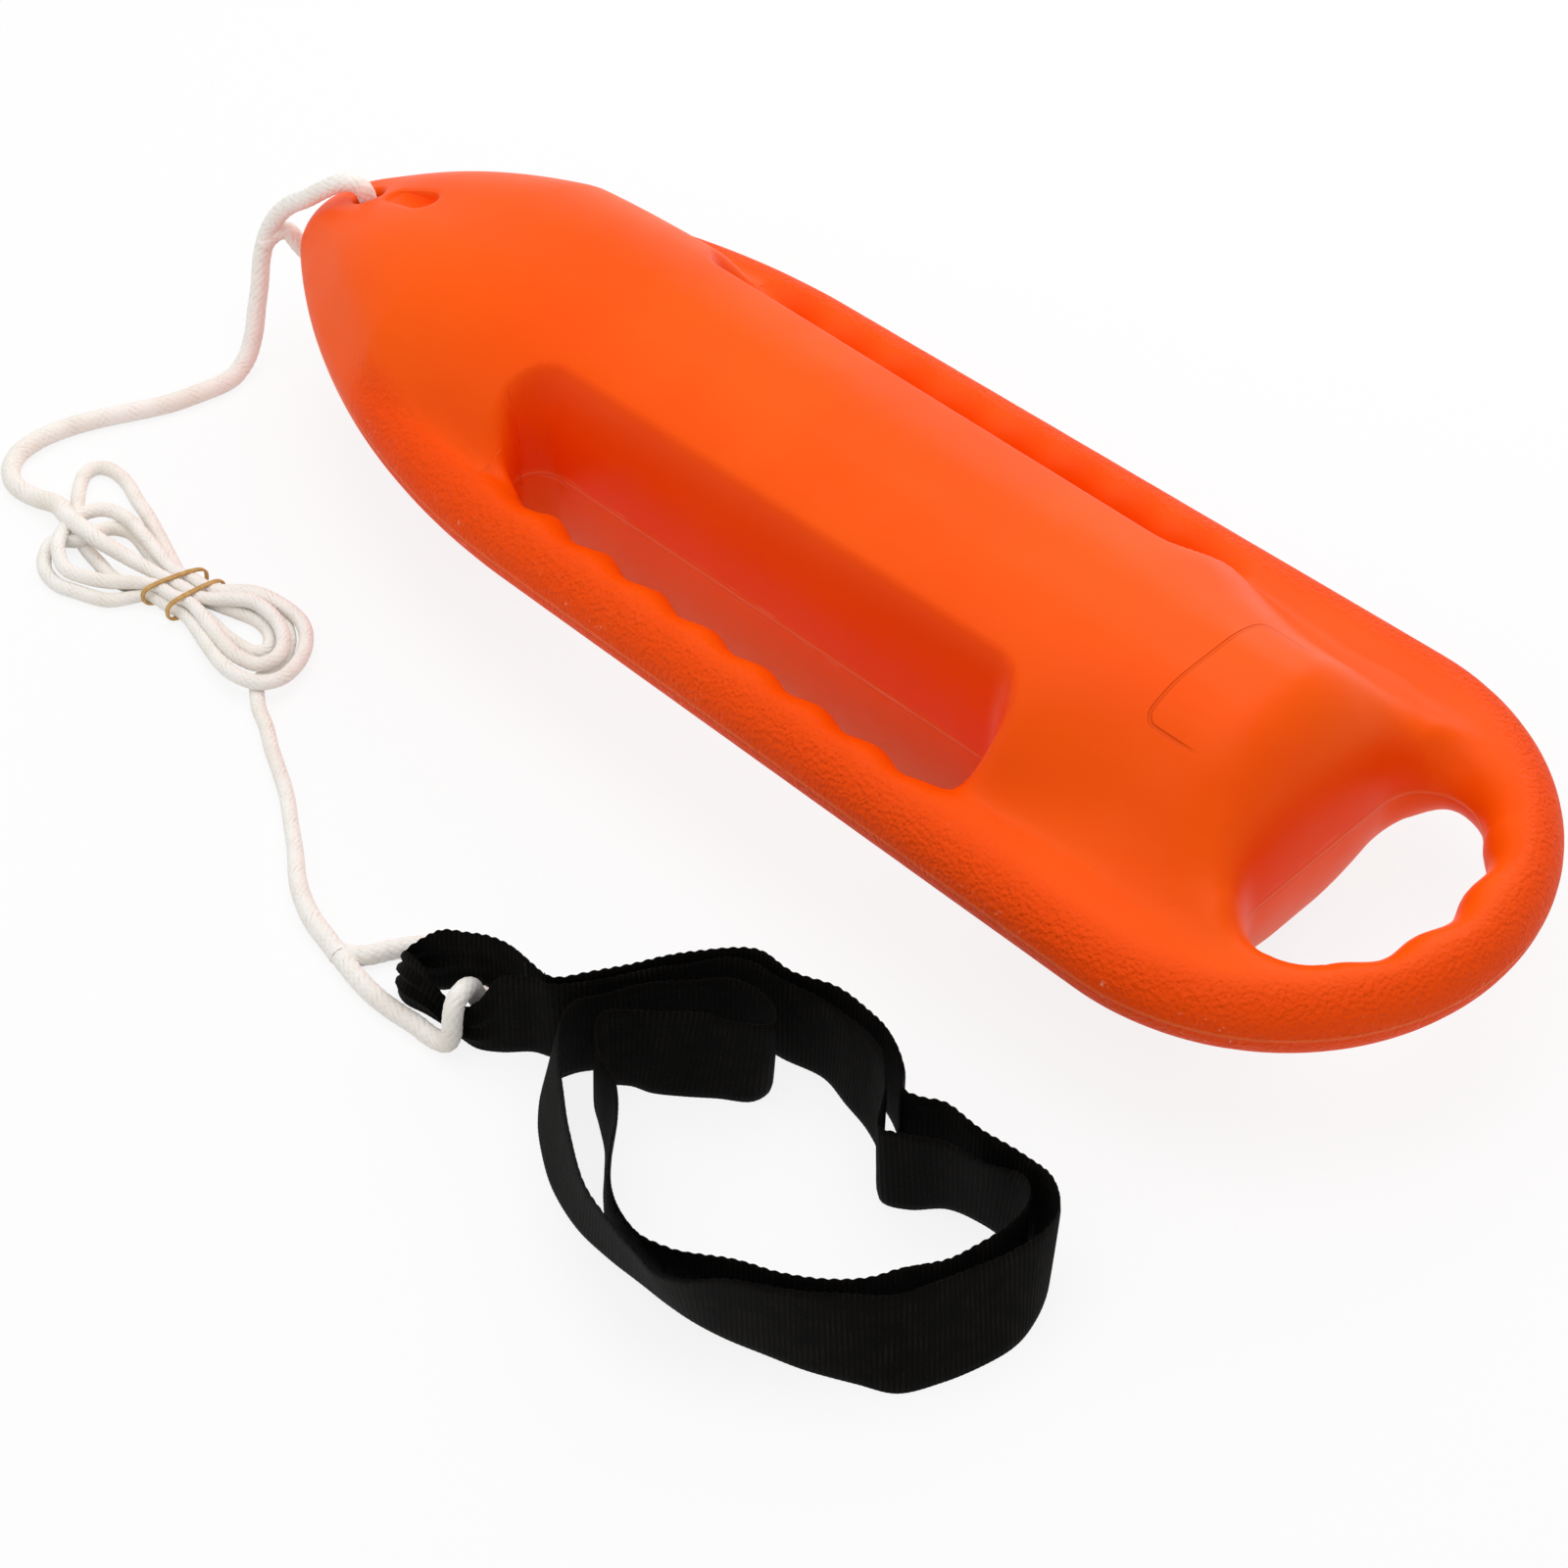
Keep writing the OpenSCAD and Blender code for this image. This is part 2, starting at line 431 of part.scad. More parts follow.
// The webbing's stations, all round its closed route. Each holds the plan
// position of the bottom edge and of the top edge, then how far the bottom edge
// is lifted and how much the webbing is crumpled there, from 0 to 1. From the end
// of the small loop it goes through the throat and once round the ring, folds
// back at a hairpin and goes round the ring again inside the first turn.
WEBBING_ROUTE = [
    [-10, 284, -12, 284, 0, 0.67], [2, 286, -2, 285, 0, 0.53], [10, 282, 4, 282, 0, 0.73],
    [5, 276, 0, 277, 0, 0.53], [-8, 271, -8, 271, 4, 0.27], [-18, 266, -18, 266, 12, 0.17],
    [-28, 262, -28, 262, 13, 0.1], [-40, 260, -40, 260, 8, 0.1], [-54, 260, -54, 261, 0, 0.07],
    [-65, 258, -66, 261], [-74, 249, -75, 250], [-84, 233, -85, 234], [-95, 217, -95, 217],
    [-106, 200, -106, 200], [-119, 192, -119, 191], [-137, 190, -136, 190], [-156, 184, -156, 183],
    [-174, 184, -174, 183], [-191, 188, -190, 187], [-205, 196, -205, 195], [-213, 205, -213, 204],
    [-222, 203, -222, 203], [-233, 199, -233, 198], [-253, 200, -253, 199], [-273, 199, -272, 196],
    [-291, 205, -287, 197], [-302, 214, -300, 206], [-308, 228, -304, 220], [-310, 242, -302, 236],
    [-307, 258, -297, 251], [-301, 275, -292, 267], [-292, 291, -284, 283], [-277, 299, -271, 296],
    [-258, 308, -257, 308], [-240, 314, -242, 318], [-224, 319, -229, 325], [-209, 322, -218, 337],
    [-195, 323, -207, 342], [-179, 323, -195, 340], [-160, 323, -176, 336], [-140, 321, -154, 329],
    [-119, 314, -132, 315], [-102, 304, -115, 302], [-87, 292, -99, 289], [-77, 278, -87, 276],
    [-79, 264, -83, 264], [-88, 251, -89, 252], [-99, 235, -99, 236], [-109, 221, -110, 222],
    [-120, 211, -120, 211], [-131, 206, -132, 207], [-141, 208, -144, 209], [-146, 214, -151, 215],
    [-144, 223, -148, 221], [-133, 231, -137, 227], [-122, 240, -126, 232], [-111, 248, -115, 243],
    [-101, 252, -103, 252], [-94, 260, -96, 261], [-99, 270, -101, 270], [-109, 277, -112, 278],
    [-120, 285, -127, 284], [-130, 295, -139, 295], [-140, 305, -149, 308], [-151, 313, -161, 321],
    [-167, 316, -174, 329], [-182, 317, -190, 333], [-196, 317, -203, 329], [-210, 315, -215, 322],
    [-225, 312, -228, 315], [-242, 306, -243, 308], [-257, 300, -257, 299], [-270, 290, -269, 286],
    [-282, 279, -277, 273], [-291, 266, -285, 260], [-296, 250, -289, 246], [-297, 235, -292, 231],
    [-293, 219, -291, 217], [-284, 208, -286, 208], [-271, 204, -277, 205], [-258, 204, -264, 210],
    [-243, 208, -246, 214], [-232, 219, -231, 222], [-221, 224, -220, 226], [-212, 217, -213, 217],
    [-204, 207, -205, 206], [-190, 200, -193, 196], [-174, 196, -176, 192], [-157, 192, -158, 192],
    [-138, 196, -138, 196], [-122, 198, -122, 198], [-110, 205, -110, 205], [-99, 221, -99, 221],
    [-88, 237, -89, 238], [-78, 252, -79, 253], [-69, 262, -70, 264], [-58, 267, -60, 268],
    [-49, 276, -50, 276, 0, 0.07], [-40, 282, -41, 281, 0, 0.67], [-31, 283, -31, 283, 0, 1],
    [-22, 283, -22, 283, 0, 1]];
function filled(row) = [for (i = [0 : 5]) i < len(row) ? row[i] : 0];
webbing_rows = [for (row = WEBBING_ROUTE) filled(row)];
WEBBING_STEPS = 3;
function at(rows, i) = rows[(i + len(rows)) % len(rows)];
// Point of a smooth curve through q and r, with p and s beyond them
function spline(p, q, r, s, t) = 0.5 * (2 * q + (r - p) * t + (2 * p - 5 * q + 4 * r - s) * t * t
    + (3 * q - p - 3 * r + s) * t * t * t);
webbing_stations = [for (i = [0 : len(webbing_rows) - 1]) for (k = [0 : WEBBING_STEPS - 1])
    spline(at(webbing_rows, i - 1), webbing_rows[i], at(webbing_rows, i + 1), at(webbing_rows, i + 2),
        k / WEBBING_STEPS)];
function foot(row) = [row[0], row[1]];
function brow(row) = [row[2], row[3]];

// The four corners of the webbing's cross-section at a station
function webbing_corners(i) =
    let(row = webbing_stations[i],
        ahead = at(webbing_stations, i + 1),
        behind = at(webbing_stations, i - 1),
        t = unit(foot(ahead) + brow(ahead) - foot(behind) - brow(behind)),
        n = [-t[1], t[0]] * webbing_t / 2,
        low = max(0, row[4]),
        high = mix(webbing_w, pinch_h, clamp(row[5])))
    [[row[0] + n[0], row[1] + n[1], low], [row[0] - n[0], row[1] - n[1], low],
     [row[2] - n[0], row[3] - n[1], high], [row[2] + n[0], row[3] + n[1], high]];

module strap_webbing() color(WEBBING) {
    n = len(webbing_stations);
    polyhedron([for (i = [0 : n - 1]) each webbing_corners(i)],
        [for (i = [0 : n - 1]) for (k = [0 : 3])
            let(j = (k + 1) % 4, u = i * 4, v = ((i + 1) % n) * 4)
            each [[u + k, u + j, v + j], [u + k, v + j, v + k]]]);
}

float_body();
nose_eye();
rope_upper_run();
rope_hank();
rubber_band();
rope_lower_run();
strap_eye();
strap_webbing();
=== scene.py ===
"""Rescue can buoy: a moulded torpedo float with its tow rope and shoulder strap.

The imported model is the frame. The float, the ropes, the band and the strap are
built here in full detail over its solids, in the same place and at the same size.
"""

import logging
import math
from dataclasses import dataclass
from enum import Enum
from typing import Callable, Sequence

import bmesh
import bpy
import numpy as np
from mathutils import Matrix, Vector


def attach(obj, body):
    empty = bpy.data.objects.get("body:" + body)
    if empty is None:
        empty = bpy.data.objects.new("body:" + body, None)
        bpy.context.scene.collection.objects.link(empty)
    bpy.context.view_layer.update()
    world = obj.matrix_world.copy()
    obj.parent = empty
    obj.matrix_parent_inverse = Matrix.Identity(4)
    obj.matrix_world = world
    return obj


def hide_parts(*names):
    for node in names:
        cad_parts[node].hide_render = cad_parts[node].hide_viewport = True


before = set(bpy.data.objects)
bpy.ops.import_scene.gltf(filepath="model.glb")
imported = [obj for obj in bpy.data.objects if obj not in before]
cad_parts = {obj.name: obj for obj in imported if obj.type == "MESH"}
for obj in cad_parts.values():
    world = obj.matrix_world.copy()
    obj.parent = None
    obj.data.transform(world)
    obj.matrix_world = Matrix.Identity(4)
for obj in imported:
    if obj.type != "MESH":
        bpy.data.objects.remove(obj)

logging.basicConfig(level=logging.INFO, format="%(message)s")
log = logging.getLogger("rescue_can")

MM = 0.001
WHITE = (1.0, 1.0, 1.0, 1.0)
SENSOR_MM = 36.0
Point = tuple[float, float, float]
Route = tuple[Point, ...]
Row = Sequence[float]
Number = float | np.ndarray
Feed = bpy.types.NodeSocket | float | tuple[float, float, float, float]


class Body(Enum):
    """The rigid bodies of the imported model."""

    FLOAT = "float"
    TOW_LINE = "tow_line"
    STRAP = "shoulder_strap"


class Slot(Enum):
    """The record's material slots."""

    SHELL = "float_shell"
    ROPE = "rope"
    BAND = "band"
    WEBBING = "webbing"


# Node trees and finishes


def srgb(code: str) -> tuple[float, float, float, float]:
    """Turns a hex colour into Blender's linear colour.

    Args:
        code: six hex digits, such as "F0E8DC".

    Returns:
        Linear red, green, blue and an alpha of 1.
    """
    channels = [int(code[i : i + 2], 16) / 255 for i in (0, 2, 4)]
    linear = [c / 12.92 if c <= 0.04045 else ((c + 0.055) / 1.055) ** 2.4 for c in channels]
    return (linear[0], linear[1], linear[2], 1.0)


def add_node(
    tree: bpy.types.NodeTree, kind: str, inputs: dict | None = None, **settings: object
) -> bpy.types.Node:
    """Adds one node, sets its options and fills or links its inputs.

    Args:
        tree: the node tree that gets the node.
        kind: the node's type name.
        inputs: socket name or number to a value, or to the output that feeds it.
        **settings: options of the node itself.

    Returns:
        The new node.
    """
    node = tree.nodes.new(kind)
    for name, value in settings.items():
        setattr(node, name, value)
    for key, value in (inputs or {}).items():
        if isinstance(value, bpy.types.NodeSocket):
            tree.links.new(value, node.inputs[key])
        else:
            node.inputs[key].default_value = value
    return node


def maths(tree: bpy.types.NodeTree, operation: str, *values: Feed) -> bpy.types.NodeSocket:
    """Adds a Math node on numbers or outputs and returns its result."""
    node = add_node(tree, "ShaderNodeMath", dict(enumerate(values)), operation=operation)
    return node.outputs[0]


def blend_colours(tree: bpy.types.NodeTree, share: Feed, first: Feed, second: Feed) -> bpy.types.NodeSocket:
    """Adds a colour mix and returns its result.

    Args:
        tree: the material's node tree.
        share: output or number, 0 for the first colour and 1 for the second.
        first: colour or output.
        second: colour or output.

    Returns:
        The mixed colour's output.
    """
    node = tree.nodes.new("ShaderNodeMix")
    node.data_type = "RGBA"
    for socket, value in zip((node.inputs[0], node.inputs[6], node.inputs[7]), (share, first, second)):
        if isinstance(value, bpy.types.NodeSocket):
            tree.links.new(value, socket)
        else:
            socket.default_value = value
    return node.outputs[2]


def steps(tree: bpy.types.NodeTree, value: Feed, low: float, high: float) -> bpy.types.NodeSocket:
    """Maps a value from low..high to 0..1 with soft ends, and clamps it.

    Args:
        tree: the material's node tree.
        value: output to map.
        low: value that gives 0.
        high: value that gives 1.

    Returns:
        The mapped value's output.
    """
    node = add_node(
        tree, "ShaderNodeMapRange", {"Value": value, "From Min": low, "From Max": high},
        interpolation_type="SMOOTHSTEP",
    )
    return node.outputs["Result"]


def backdrop_rays(tree: bpy.types.NodeTree) -> bpy.types.NodeSocket:
    """Gives 1 for the rays that see the white backdrop: camera, glossy and transmission."""
    rays = add_node(tree, "ShaderNodeLightPath").outputs
    mirrored = maths(tree, "ADD", rays["Is Glossy Ray"], rays["Is Transmission Ray"])
    return maths(tree, "MINIMUM", maths(tree, "ADD", rays["Is Camera Ray"], mirrored), 1.0)


@dataclass(frozen=True)
class Finish:
    """A material, built from procedural nodes."""

    name: str

    def build(self) -> bpy.types.Material:
        """Makes the material and dresses its surface."""
        material = bpy.data.materials.new(self.name)
        material.use_nodes = True
        tree = material.node_tree
        tree.nodes.clear()
        surface = add_node(tree, "ShaderNodeBsdfPrincipled")
        add_node(tree, "ShaderNodeOutputMaterial", {"Surface": surface.outputs[0]})
        place = add_node(tree, "ShaderNodeTexCoord").outputs["Object"]
        self.dress(tree, surface, place)
        return material

    def dress(self, tree: bpy.types.NodeTree, surface: bpy.types.Node, place: bpy.types.NodeSocket) -> None:
        """Fills the surface's sockets; each finish has its own.

        Args:
            tree: the material's node tree.
            surface: the Principled shader to dress.
            place: output with the place on the piece, in metres.
        """
        raise NotImplementedError

    @staticmethod
    def attribute(tree: bpy.types.NodeTree, name: str) -> bpy.types.NodeSocket:
        """Reads a number that the mesh holds for each point."""
        return add_node(tree, "ShaderNodeAttribute", attribute_name=name).outputs["Fac"]

    @staticmethod
    def noise(
        tree: bpy.types.NodeTree, place: bpy.types.NodeSocket, size: float, detail: float = 3.0
    ) -> bpy.types.NodeSocket:
        """Noise whose features are about size metres across."""
        node = add_node(tree, "ShaderNodeTexNoise", {"Vector": place, "Scale": 1 / size, "Detail": detail})
        return node.outputs["Fac"]

    @staticmethod
    def relief(
        tree: bpy.types.NodeTree, height: bpy.types.NodeSocket, depth: float,
        under: bpy.types.NodeSocket | None = None,
    ) -> bpy.types.NodeSocket:
        """Adds a bump to a surface.

        Args:
            tree: the material's node tree.
            height: output with the relief's height, 0 to 1.
            depth: the relief's depth in metres.
            under: normal of the bump it lies over, if any.

        Returns:
            The bumped normal's output.
        """
        inputs = {"Height": height, "Distance": depth, "Strength": 1.0}
        if under is not None:
            inputs["Normal"] = under
        return add_node(tree, "ShaderNodeBump", inputs).outputs["Normal"]


@dataclass(frozen=True)
class MouldedPolyethylene(Finish):
    """Orange blow-moulded polyethylene, with grain, parting line and bare label panel."""

    parting_z: float = 70 * MM
    panel_x: float = -211 * MM
    panel_half_l: float = 16 * MM
    panel_half_w: float = 40 * MM
    panel_corner: float = 6 * MM
    panel_line: float = 1.1 * MM

    def panel_edge(
        self, tree: bpy.types.NodeTree, x: bpy.types.NodeSocket, y: bpy.types.NodeSocket
    ) -> bpy.types.NodeSocket:
        """Distance from the label panel's rounded outline, as nodes.

        Args:
            tree: the material's node tree.
            x: output with the position along the float.
            y: output with the position across the float.

        Returns:
            The distance in metres, 0 on the outline.
        """
        along = maths(tree, "SUBTRACT", maths(tree, "ABSOLUTE", maths(tree, "SUBTRACT", x, self.panel_x)),
                      self.panel_half_l - self.panel_corner)
        across = maths(tree, "SUBTRACT", maths(tree, "ABSOLUTE", y), self.panel_half_w - self.panel_corner)
        outside = maths(tree, "SQRT", maths(tree, "ADD",
                        maths(tree, "POWER", maths(tree, "MAXIMUM", along, 0.0), 2.0),
                        maths(tree, "POWER", maths(tree, "MAXIMUM", across, 0.0), 2.0)))
        inside = maths(tree, "MINIMUM", maths(tree, "MAXIMUM", along, across), 0.0)
        signed = maths(tree, "SUBTRACT", maths(tree, "ADD", outside, inside), self.panel_corner)
        return maths(tree, "ABSOLUTE", signed)

    def dress(self, tree: bpy.types.NodeTree, surface: bpy.types.Node, place: bpy.types.NodeSocket) -> None:
        """Satin orange, pebbled round the rim, with its seams and sink marks.

        Args:
            tree: the material's node tree.
            surface: the Principled shader to dress.
            place: output with the place on the piece, in metres.
        """
        axes = add_node(tree, "ShaderNodeSeparateXYZ", {0: place}).outputs
        grain = self.attribute(tree, "grain")
        cloud = self.noise(tree, place, 120 * MM)
        # Polyethylene coloured through: one orange, a little uneven over a hand's width
        colour = blend_colours(tree, steps(tree, cloud, 0.35, 0.65), srgb("FA5300"), srgb("FC5A06"))
        colour = blend_colours(tree, maths(tree, "MULTIPLY", grain, 0.75), colour, srgb("F64800"))
        # Stands in for light that reddens as it bounces between the walls of an opening
        walls = maths(tree, "MULTIPLY", self.attribute(tree, "hollow"), 0.5)
        colour = blend_colours(tree, walls, colour, srgb("FA3600"))

        # The mould's pebble grain, at 2.1 mm coarse enough to show, rubbed pale on its crests
        pebbles = add_node(tree, "ShaderNodeTexVoronoi", {"Vector": place, "Scale": 1 / (2.1 * MM)},
                           feature="SMOOTH_F1").outputs["Distance"]
        pebble_noise = self.noise(tree, place, 1.3 * MM, 2.0)
        pebble = maths(tree, "ADD", maths(tree, "MULTIPLY", pebbles, 0.7),
                       maths(tree, "MULTIPLY", pebble_noise, 0.5))
        rubbed = maths(tree, "MULTIPLY", steps(tree, self.noise(tree, place, 26 * MM), 0.52, 0.7),
                       steps(tree, pebble, 0.62, 0.85))
        rubbed = maths(tree, "MULTIPLY", rubbed, grain)
        colour = blend_colours(tree, maths(tree, "MULTIPLY", rubbed, 0.22), colour, srgb("FF8A4C"))

        # Parting line, with scuffs on the grain and long scratches on the smooth walls
        height = maths(tree, "ABSOLUTE", maths(tree, "SUBTRACT", axes[2], self.parting_z))
        seam = maths(tree, "SUBTRACT", 1.0, steps(tree, height, 0.35 * MM, 1.3 * MM))
        scuffed = maths(tree, "MULTIPLY", steps(tree, self.noise(tree, place, 2.6 * MM, 4.0), 0.62, 0.70),
                        maths(tree, "SUBTRACT", 1.0, steps(tree, height, 3 * MM, 11 * MM)))
        scuffed = maths(tree, "MULTIPLY", scuffed, steps(tree, self.noise(tree, place, 40 * MM), 0.5, 0.65))
        scuffed = maths(tree, "MULTIPLY", scuffed, grain)
        colour = blend_colours(tree, maths(tree, "MULTIPLY", scuffed, 0.55), colour, srgb("FFC4A4"))
        colour = blend_colours(tree, maths(tree, "MULTIPLY", seam, 0.35), colour, srgb("FF8A50"))
        drawn = add_node(tree, "ShaderNodeMapping", {"Vector": place, "Scale": (1.0, 1.0, 14.0)}).outputs[0]
        scratch = steps(tree, self.noise(tree, drawn, 30 * MM, 5.0), 0.60, 0.66)
        beside = maths(tree, "SUBTRACT", 1.0, steps(tree, height, 2 * MM, 7 * MM))
        scratch = maths(tree, "MULTIPLY", scratch, beside)
        scratch = maths(tree, "MULTIPLY", scratch, maths(tree, "SUBTRACT", 1.0, grain))
        colour = blend_colours(tree, maths(tree, "MULTIPLY", scratch, 0.22), colour, srgb("FFA888"))

        # Outline of the bare label panel, fading toward the tail
        edge = self.panel_edge(tree, axes[0], axes[1])
        line = maths(tree, "SUBTRACT", 1.0, steps(tree, edge, 0.3 * self.panel_line, self.panel_line))
        line = maths(tree, "MULTIPLY", line, maths(tree, "GREATER_THAN", axes[2], self.parting_z))
        line = maths(tree, "MULTIPLY", line, steps(tree, axes[0], -226 * MM, -214 * MM))
        colour = blend_colours(tree, maths(tree, "MULTIPLY", line, 0.22), colour, srgb("C93A06"))
        tree.links.new(colour, surface.inputs["Base Color"])

        # Relief, from the finest to the sink marks that a moulded wall shows
        fine = self.relief(tree, self.noise(tree, place, 0.6 * MM, 2.0), 0.012 * MM)
        pebbled = self.relief(tree, maths(tree, "MULTIPLY", pebble, grain), 1.5 * MM, fine)
        sunk = self.relief(tree, self.noise(tree, place, 45 * MM, 1.0), 0.9 * MM, pebbled)
        ridged = self.relief(tree, seam, 0.35 * MM, sunk)
        grooved = self.relief(tree, maths(tree, "SUBTRACT", 1.0, line), 0.6 * MM, ridged)
        tree.links.new(grooved, surface.inputs["Normal"])

        # Handled plastic: satin, streaky and duller on the grain
        streak = self.noise(tree, place, 14 * MM, 4.0)
        rough = add_node(tree, "ShaderNodeMapRange",
                         {"Value": streak, "To Min": 0.34, "To Max": 0.46}).outputs[0]
        rough = maths(tree, "ADD", rough, maths(tree, "MULTIPLY", grain, 0.10))
        tree.links.new(rough, surface.inputs["Roughness"])
        surface.inputs["Specular IOR Level"].default_value = 0.09


@dataclass(frozen=True)
class BraidedRope(Finish):
    """White hollow-braided rope; the braid's relief is in the mesh."""

    def dress(self, tree: bpy.types.NodeTree, surface: bpy.types.Node, place: bpy.types.NodeSocket) -> None:
        """Warm white strands, with painted shade greying the gaps between them, and fine fibres.

        Args:
            tree: the material's node tree.
            surface: the Principled shader to dress.
            place: output with the place on the piece, in metres.
        """
        braid = self.attribute(tree, "braid")
        soiled = self.noise(tree, place, 30 * MM)
        strands = blend_colours(tree, steps(tree, soiled, 0.4, 0.7), srgb("FAF6F0"), srgb("F4EDE3"))
        # Painted shade: where the braid is low, between the strands, the white greys toward E2D7C8
        colour = blend_colours(tree, steps(tree, braid, 0.02, 0.40), srgb("E2D7C8"), strands)
        tree.links.new(colour, surface.inputs["Base Color"])
        fibre = self.noise(tree, place, 0.45 * MM, 3.0)
        first = self.relief(tree, fibre, 0.10 * MM)
        tree.links.new(self.relief(tree, braid, 0.20 * MM, first), surface.inputs["Normal"])
        surface.inputs["Roughness"].default_value = 0.72
        surface.inputs["Specular IOR Level"].default_value = 0.30
        surface.inputs["Sheen Weight"].default_value = 0.15
        surface.inputs["Sheen Roughness"].default_value = 0.5


@dataclass(frozen=True)
class RibbedWebbing(Finish):
    """Black woven webbing; the ribs' relief is in the mesh."""

    def dress(self, tree: bpy.types.NodeTree, surface: bpy.types.Node, place: bpy.types.NodeSocket) -> None:
        """Black yarn, with a painted highlight of dusty grey on the ribs' crests, and threads across them.

        Args:
            tree: the material's node tree.
            surface: the Principled shader to dress.
            place: output with the place on the piece, in metres.
        """
        rib = self.attribute(tree, "rib")
        across = self.attribute(tree, "across")
        dust = self.noise(tree, place, 9 * MM, 4.0)
        # Painted highlight: the ribs' crests are lifted to grey, in dusty patches where the noise is high
        crest_highlight_and_dust = maths(tree, "MULTIPLY", steps(tree, rib, 0.35, 1.0), steps(tree, dust, 0.35, 0.75))
        colour = blend_colours(tree, crest_highlight_and_dust, srgb("040302"), srgb("1C1815"))
        lint = steps(tree, self.noise(tree, place, 1.1 * MM, 2.0), 0.70, 0.80)
        colour = blend_colours(tree, maths(tree, "MULTIPLY", lint, 0.25), colour, srgb("242120"))
        tree.links.new(colour, surface.inputs["Base Color"])
        # Threads 0.8 mm apart across the ribs
        threads = maths(tree, "SINE", maths(tree, "MULTIPLY", across, 2 * math.pi / (0.8 * MM)))
        weave = self.relief(tree, threads, 0.09 * MM)
        fuzz = self.relief(tree, self.noise(tree, place, 0.5 * MM, 3.0), 0.16 * MM, weave)
        tree.links.new(fuzz, surface.inputs["Normal"])
        surface.inputs["Roughness"].default_value = 0.70
        surface.inputs["Specular IOR Level"].default_value = 0.05


@dataclass(frozen=True)
class NaturalRubber(Finish):
    """Tan natural rubber with a dusty bloom."""

    def dress(self, tree: bpy.types.NodeTree, surface: bpy.types.Node, place: bpy.types.NodeSocket) -> None:
        """Tan, paler in patches of bloom, faintly grained.

        Args:
            tree: the material's node tree.
            surface: the Principled shader to dress.
            place: output with the place on the piece, in metres.
        """
        bloom = self.noise(tree, place, 3 * MM, 3.0)
        colour = blend_colours(tree, steps(tree, bloom, 0.35, 0.7), srgb("B88A45"), srgb("CDA464"))
        tree.links.new(colour, surface.inputs["Base Color"])
        grained = self.relief(tree, self.noise(tree, place, 0.4 * MM), 0.05 * MM)
        tree.links.new(grained, surface.inputs["Normal"])
        surface.inputs["Roughness"].default_value = 0.55


@dataclass(frozen=True)
class SewingThread(Finish):
    """Black bonded nylon thread."""

    def dress(self, tree: bpy.types.NodeTree, surface: bpy.types.Node, place: bpy.types.NodeSocket) -> None:
        """Black with a slight gloss and a twist.

        Args:
            tree: the material's node tree.
            surface: the Principled shader to dress.
            place: output with the place on the piece, in metres.
        """
        twist = self.noise(tree, place, 0.5 * MM)
        colour = blend_colours(tree, twist, srgb("0E0C0C"), srgb("242121"))
        tree.links.new(colour, surface.inputs["Base Color"])
        tree.links.new(self.relief(tree, twist, 0.08 * MM), surface.inputs["Normal"])
        surface.inputs["Roughness"].default_value = 0.45


@dataclass(frozen=True)
class PaleFloor(Finish):
    """The studio floor: white, keeping a light shadow."""

    shadow: float = 0.15

    def build(self) -> bpy.types.Material:
        """Mixes a white diffuse floor with white for the camera and for reflections."""
        material = bpy.data.materials.new(self.name)
        material.use_nodes = True
        tree = material.node_tree
        tree.nodes.clear()
        seen = backdrop_rays(tree)
        paint = add_node(tree, "ShaderNodeBsdfDiffuse", {"Color": srgb("F4F4F4")})
        white = add_node(tree, "ShaderNodeEmission", {"Color": WHITE, "Strength": 1.0})
        mixed = add_node(tree, "ShaderNodeMixShader", {0: maths(tree, "MULTIPLY", seen, 1 - self.shadow),
                                                       1: paint.outputs[0], 2: white.outputs[0]})
        add_node(tree, "ShaderNodeOutputMaterial", {"Surface": mixed.outputs[0]})
        return material


# Meshes


def new_object(name: str, mesh: bpy.types.Mesh, material: bpy.types.Material) -> bpy.types.Object:
    """Puts a mesh into the scene, smooth and with its material."""
    mesh.materials.clear()
    mesh.materials.append(material)
    mesh.shade_smooth()
    thing = bpy.data.objects.new(name, mesh)
    bpy.context.scene.collection.objects.link(thing)
    return thing


def mesh_of(
    name: str, points: np.ndarray, faces: Sequence[Sequence[int]],
    numbers: dict[str, np.ndarray] | None = None,
) -> bpy.types.Mesh:
    """Makes a mesh from points in millimetres.

    Args:
        name: the mesh's name.
        points: one row of x, y, z for each point, in millimetres.
        faces: the point numbers of each face.
        numbers: attribute name to one number for each point.

    Returns:
        The mesh, in metres.
    """
    mesh = bpy.data.meshes.new(name)
    mesh.from_pydata((np.asarray(points, float) * MM).tolist(), [], faces)
    for key, values in (numbers or {}).items():
        layer = mesh.attributes.new(key, "FLOAT", "POINT")
        layer.data.foreach_set("value", np.asarray(values, np.float32))
    mesh.update()
    return mesh


def ring_faces(rings: int, sides: int) -> list[list[int]]:
    """Joins closed rings of points, in order, into a tube that closes on itself."""
    return [[i * sides + k, i * sides + (k + 1) % sides, (i + 1) % rings * sides + (k + 1) % sides,
             (i + 1) % rings * sides + k] for i in range(rings) for k in range(sides)]


def outward(mesh: bpy.types.Mesh, weld: float | None = None) -> None:
    """Turns all faces outward.

    Args:
        mesh: the mesh to mend.
        weld: distance in metres below which doubles are merged first, if any are.
    """
    bm = bmesh.new()
    bm.from_mesh(mesh)
    if weld is not None:
        bmesh.ops.remove_doubles(bm, verts=bm.verts, dist=weld)
    bmesh.ops.recalc_face_normals(bm, faces=bm.faces)
    bm.to_mesh(mesh)
    bm.free()


def apply_modifiers(thing: bpy.types.Object) -> None:
    """Turns an object's modifiers into its mesh and removes them."""
    bpy.context.view_layer.update()
    graph = bpy.context.evaluated_depsgraph_get()
    mesh = bpy.data.meshes.new_from_object(thing.evaluated_get(graph))
    thing.modifiers.clear()
    thing.data = mesh


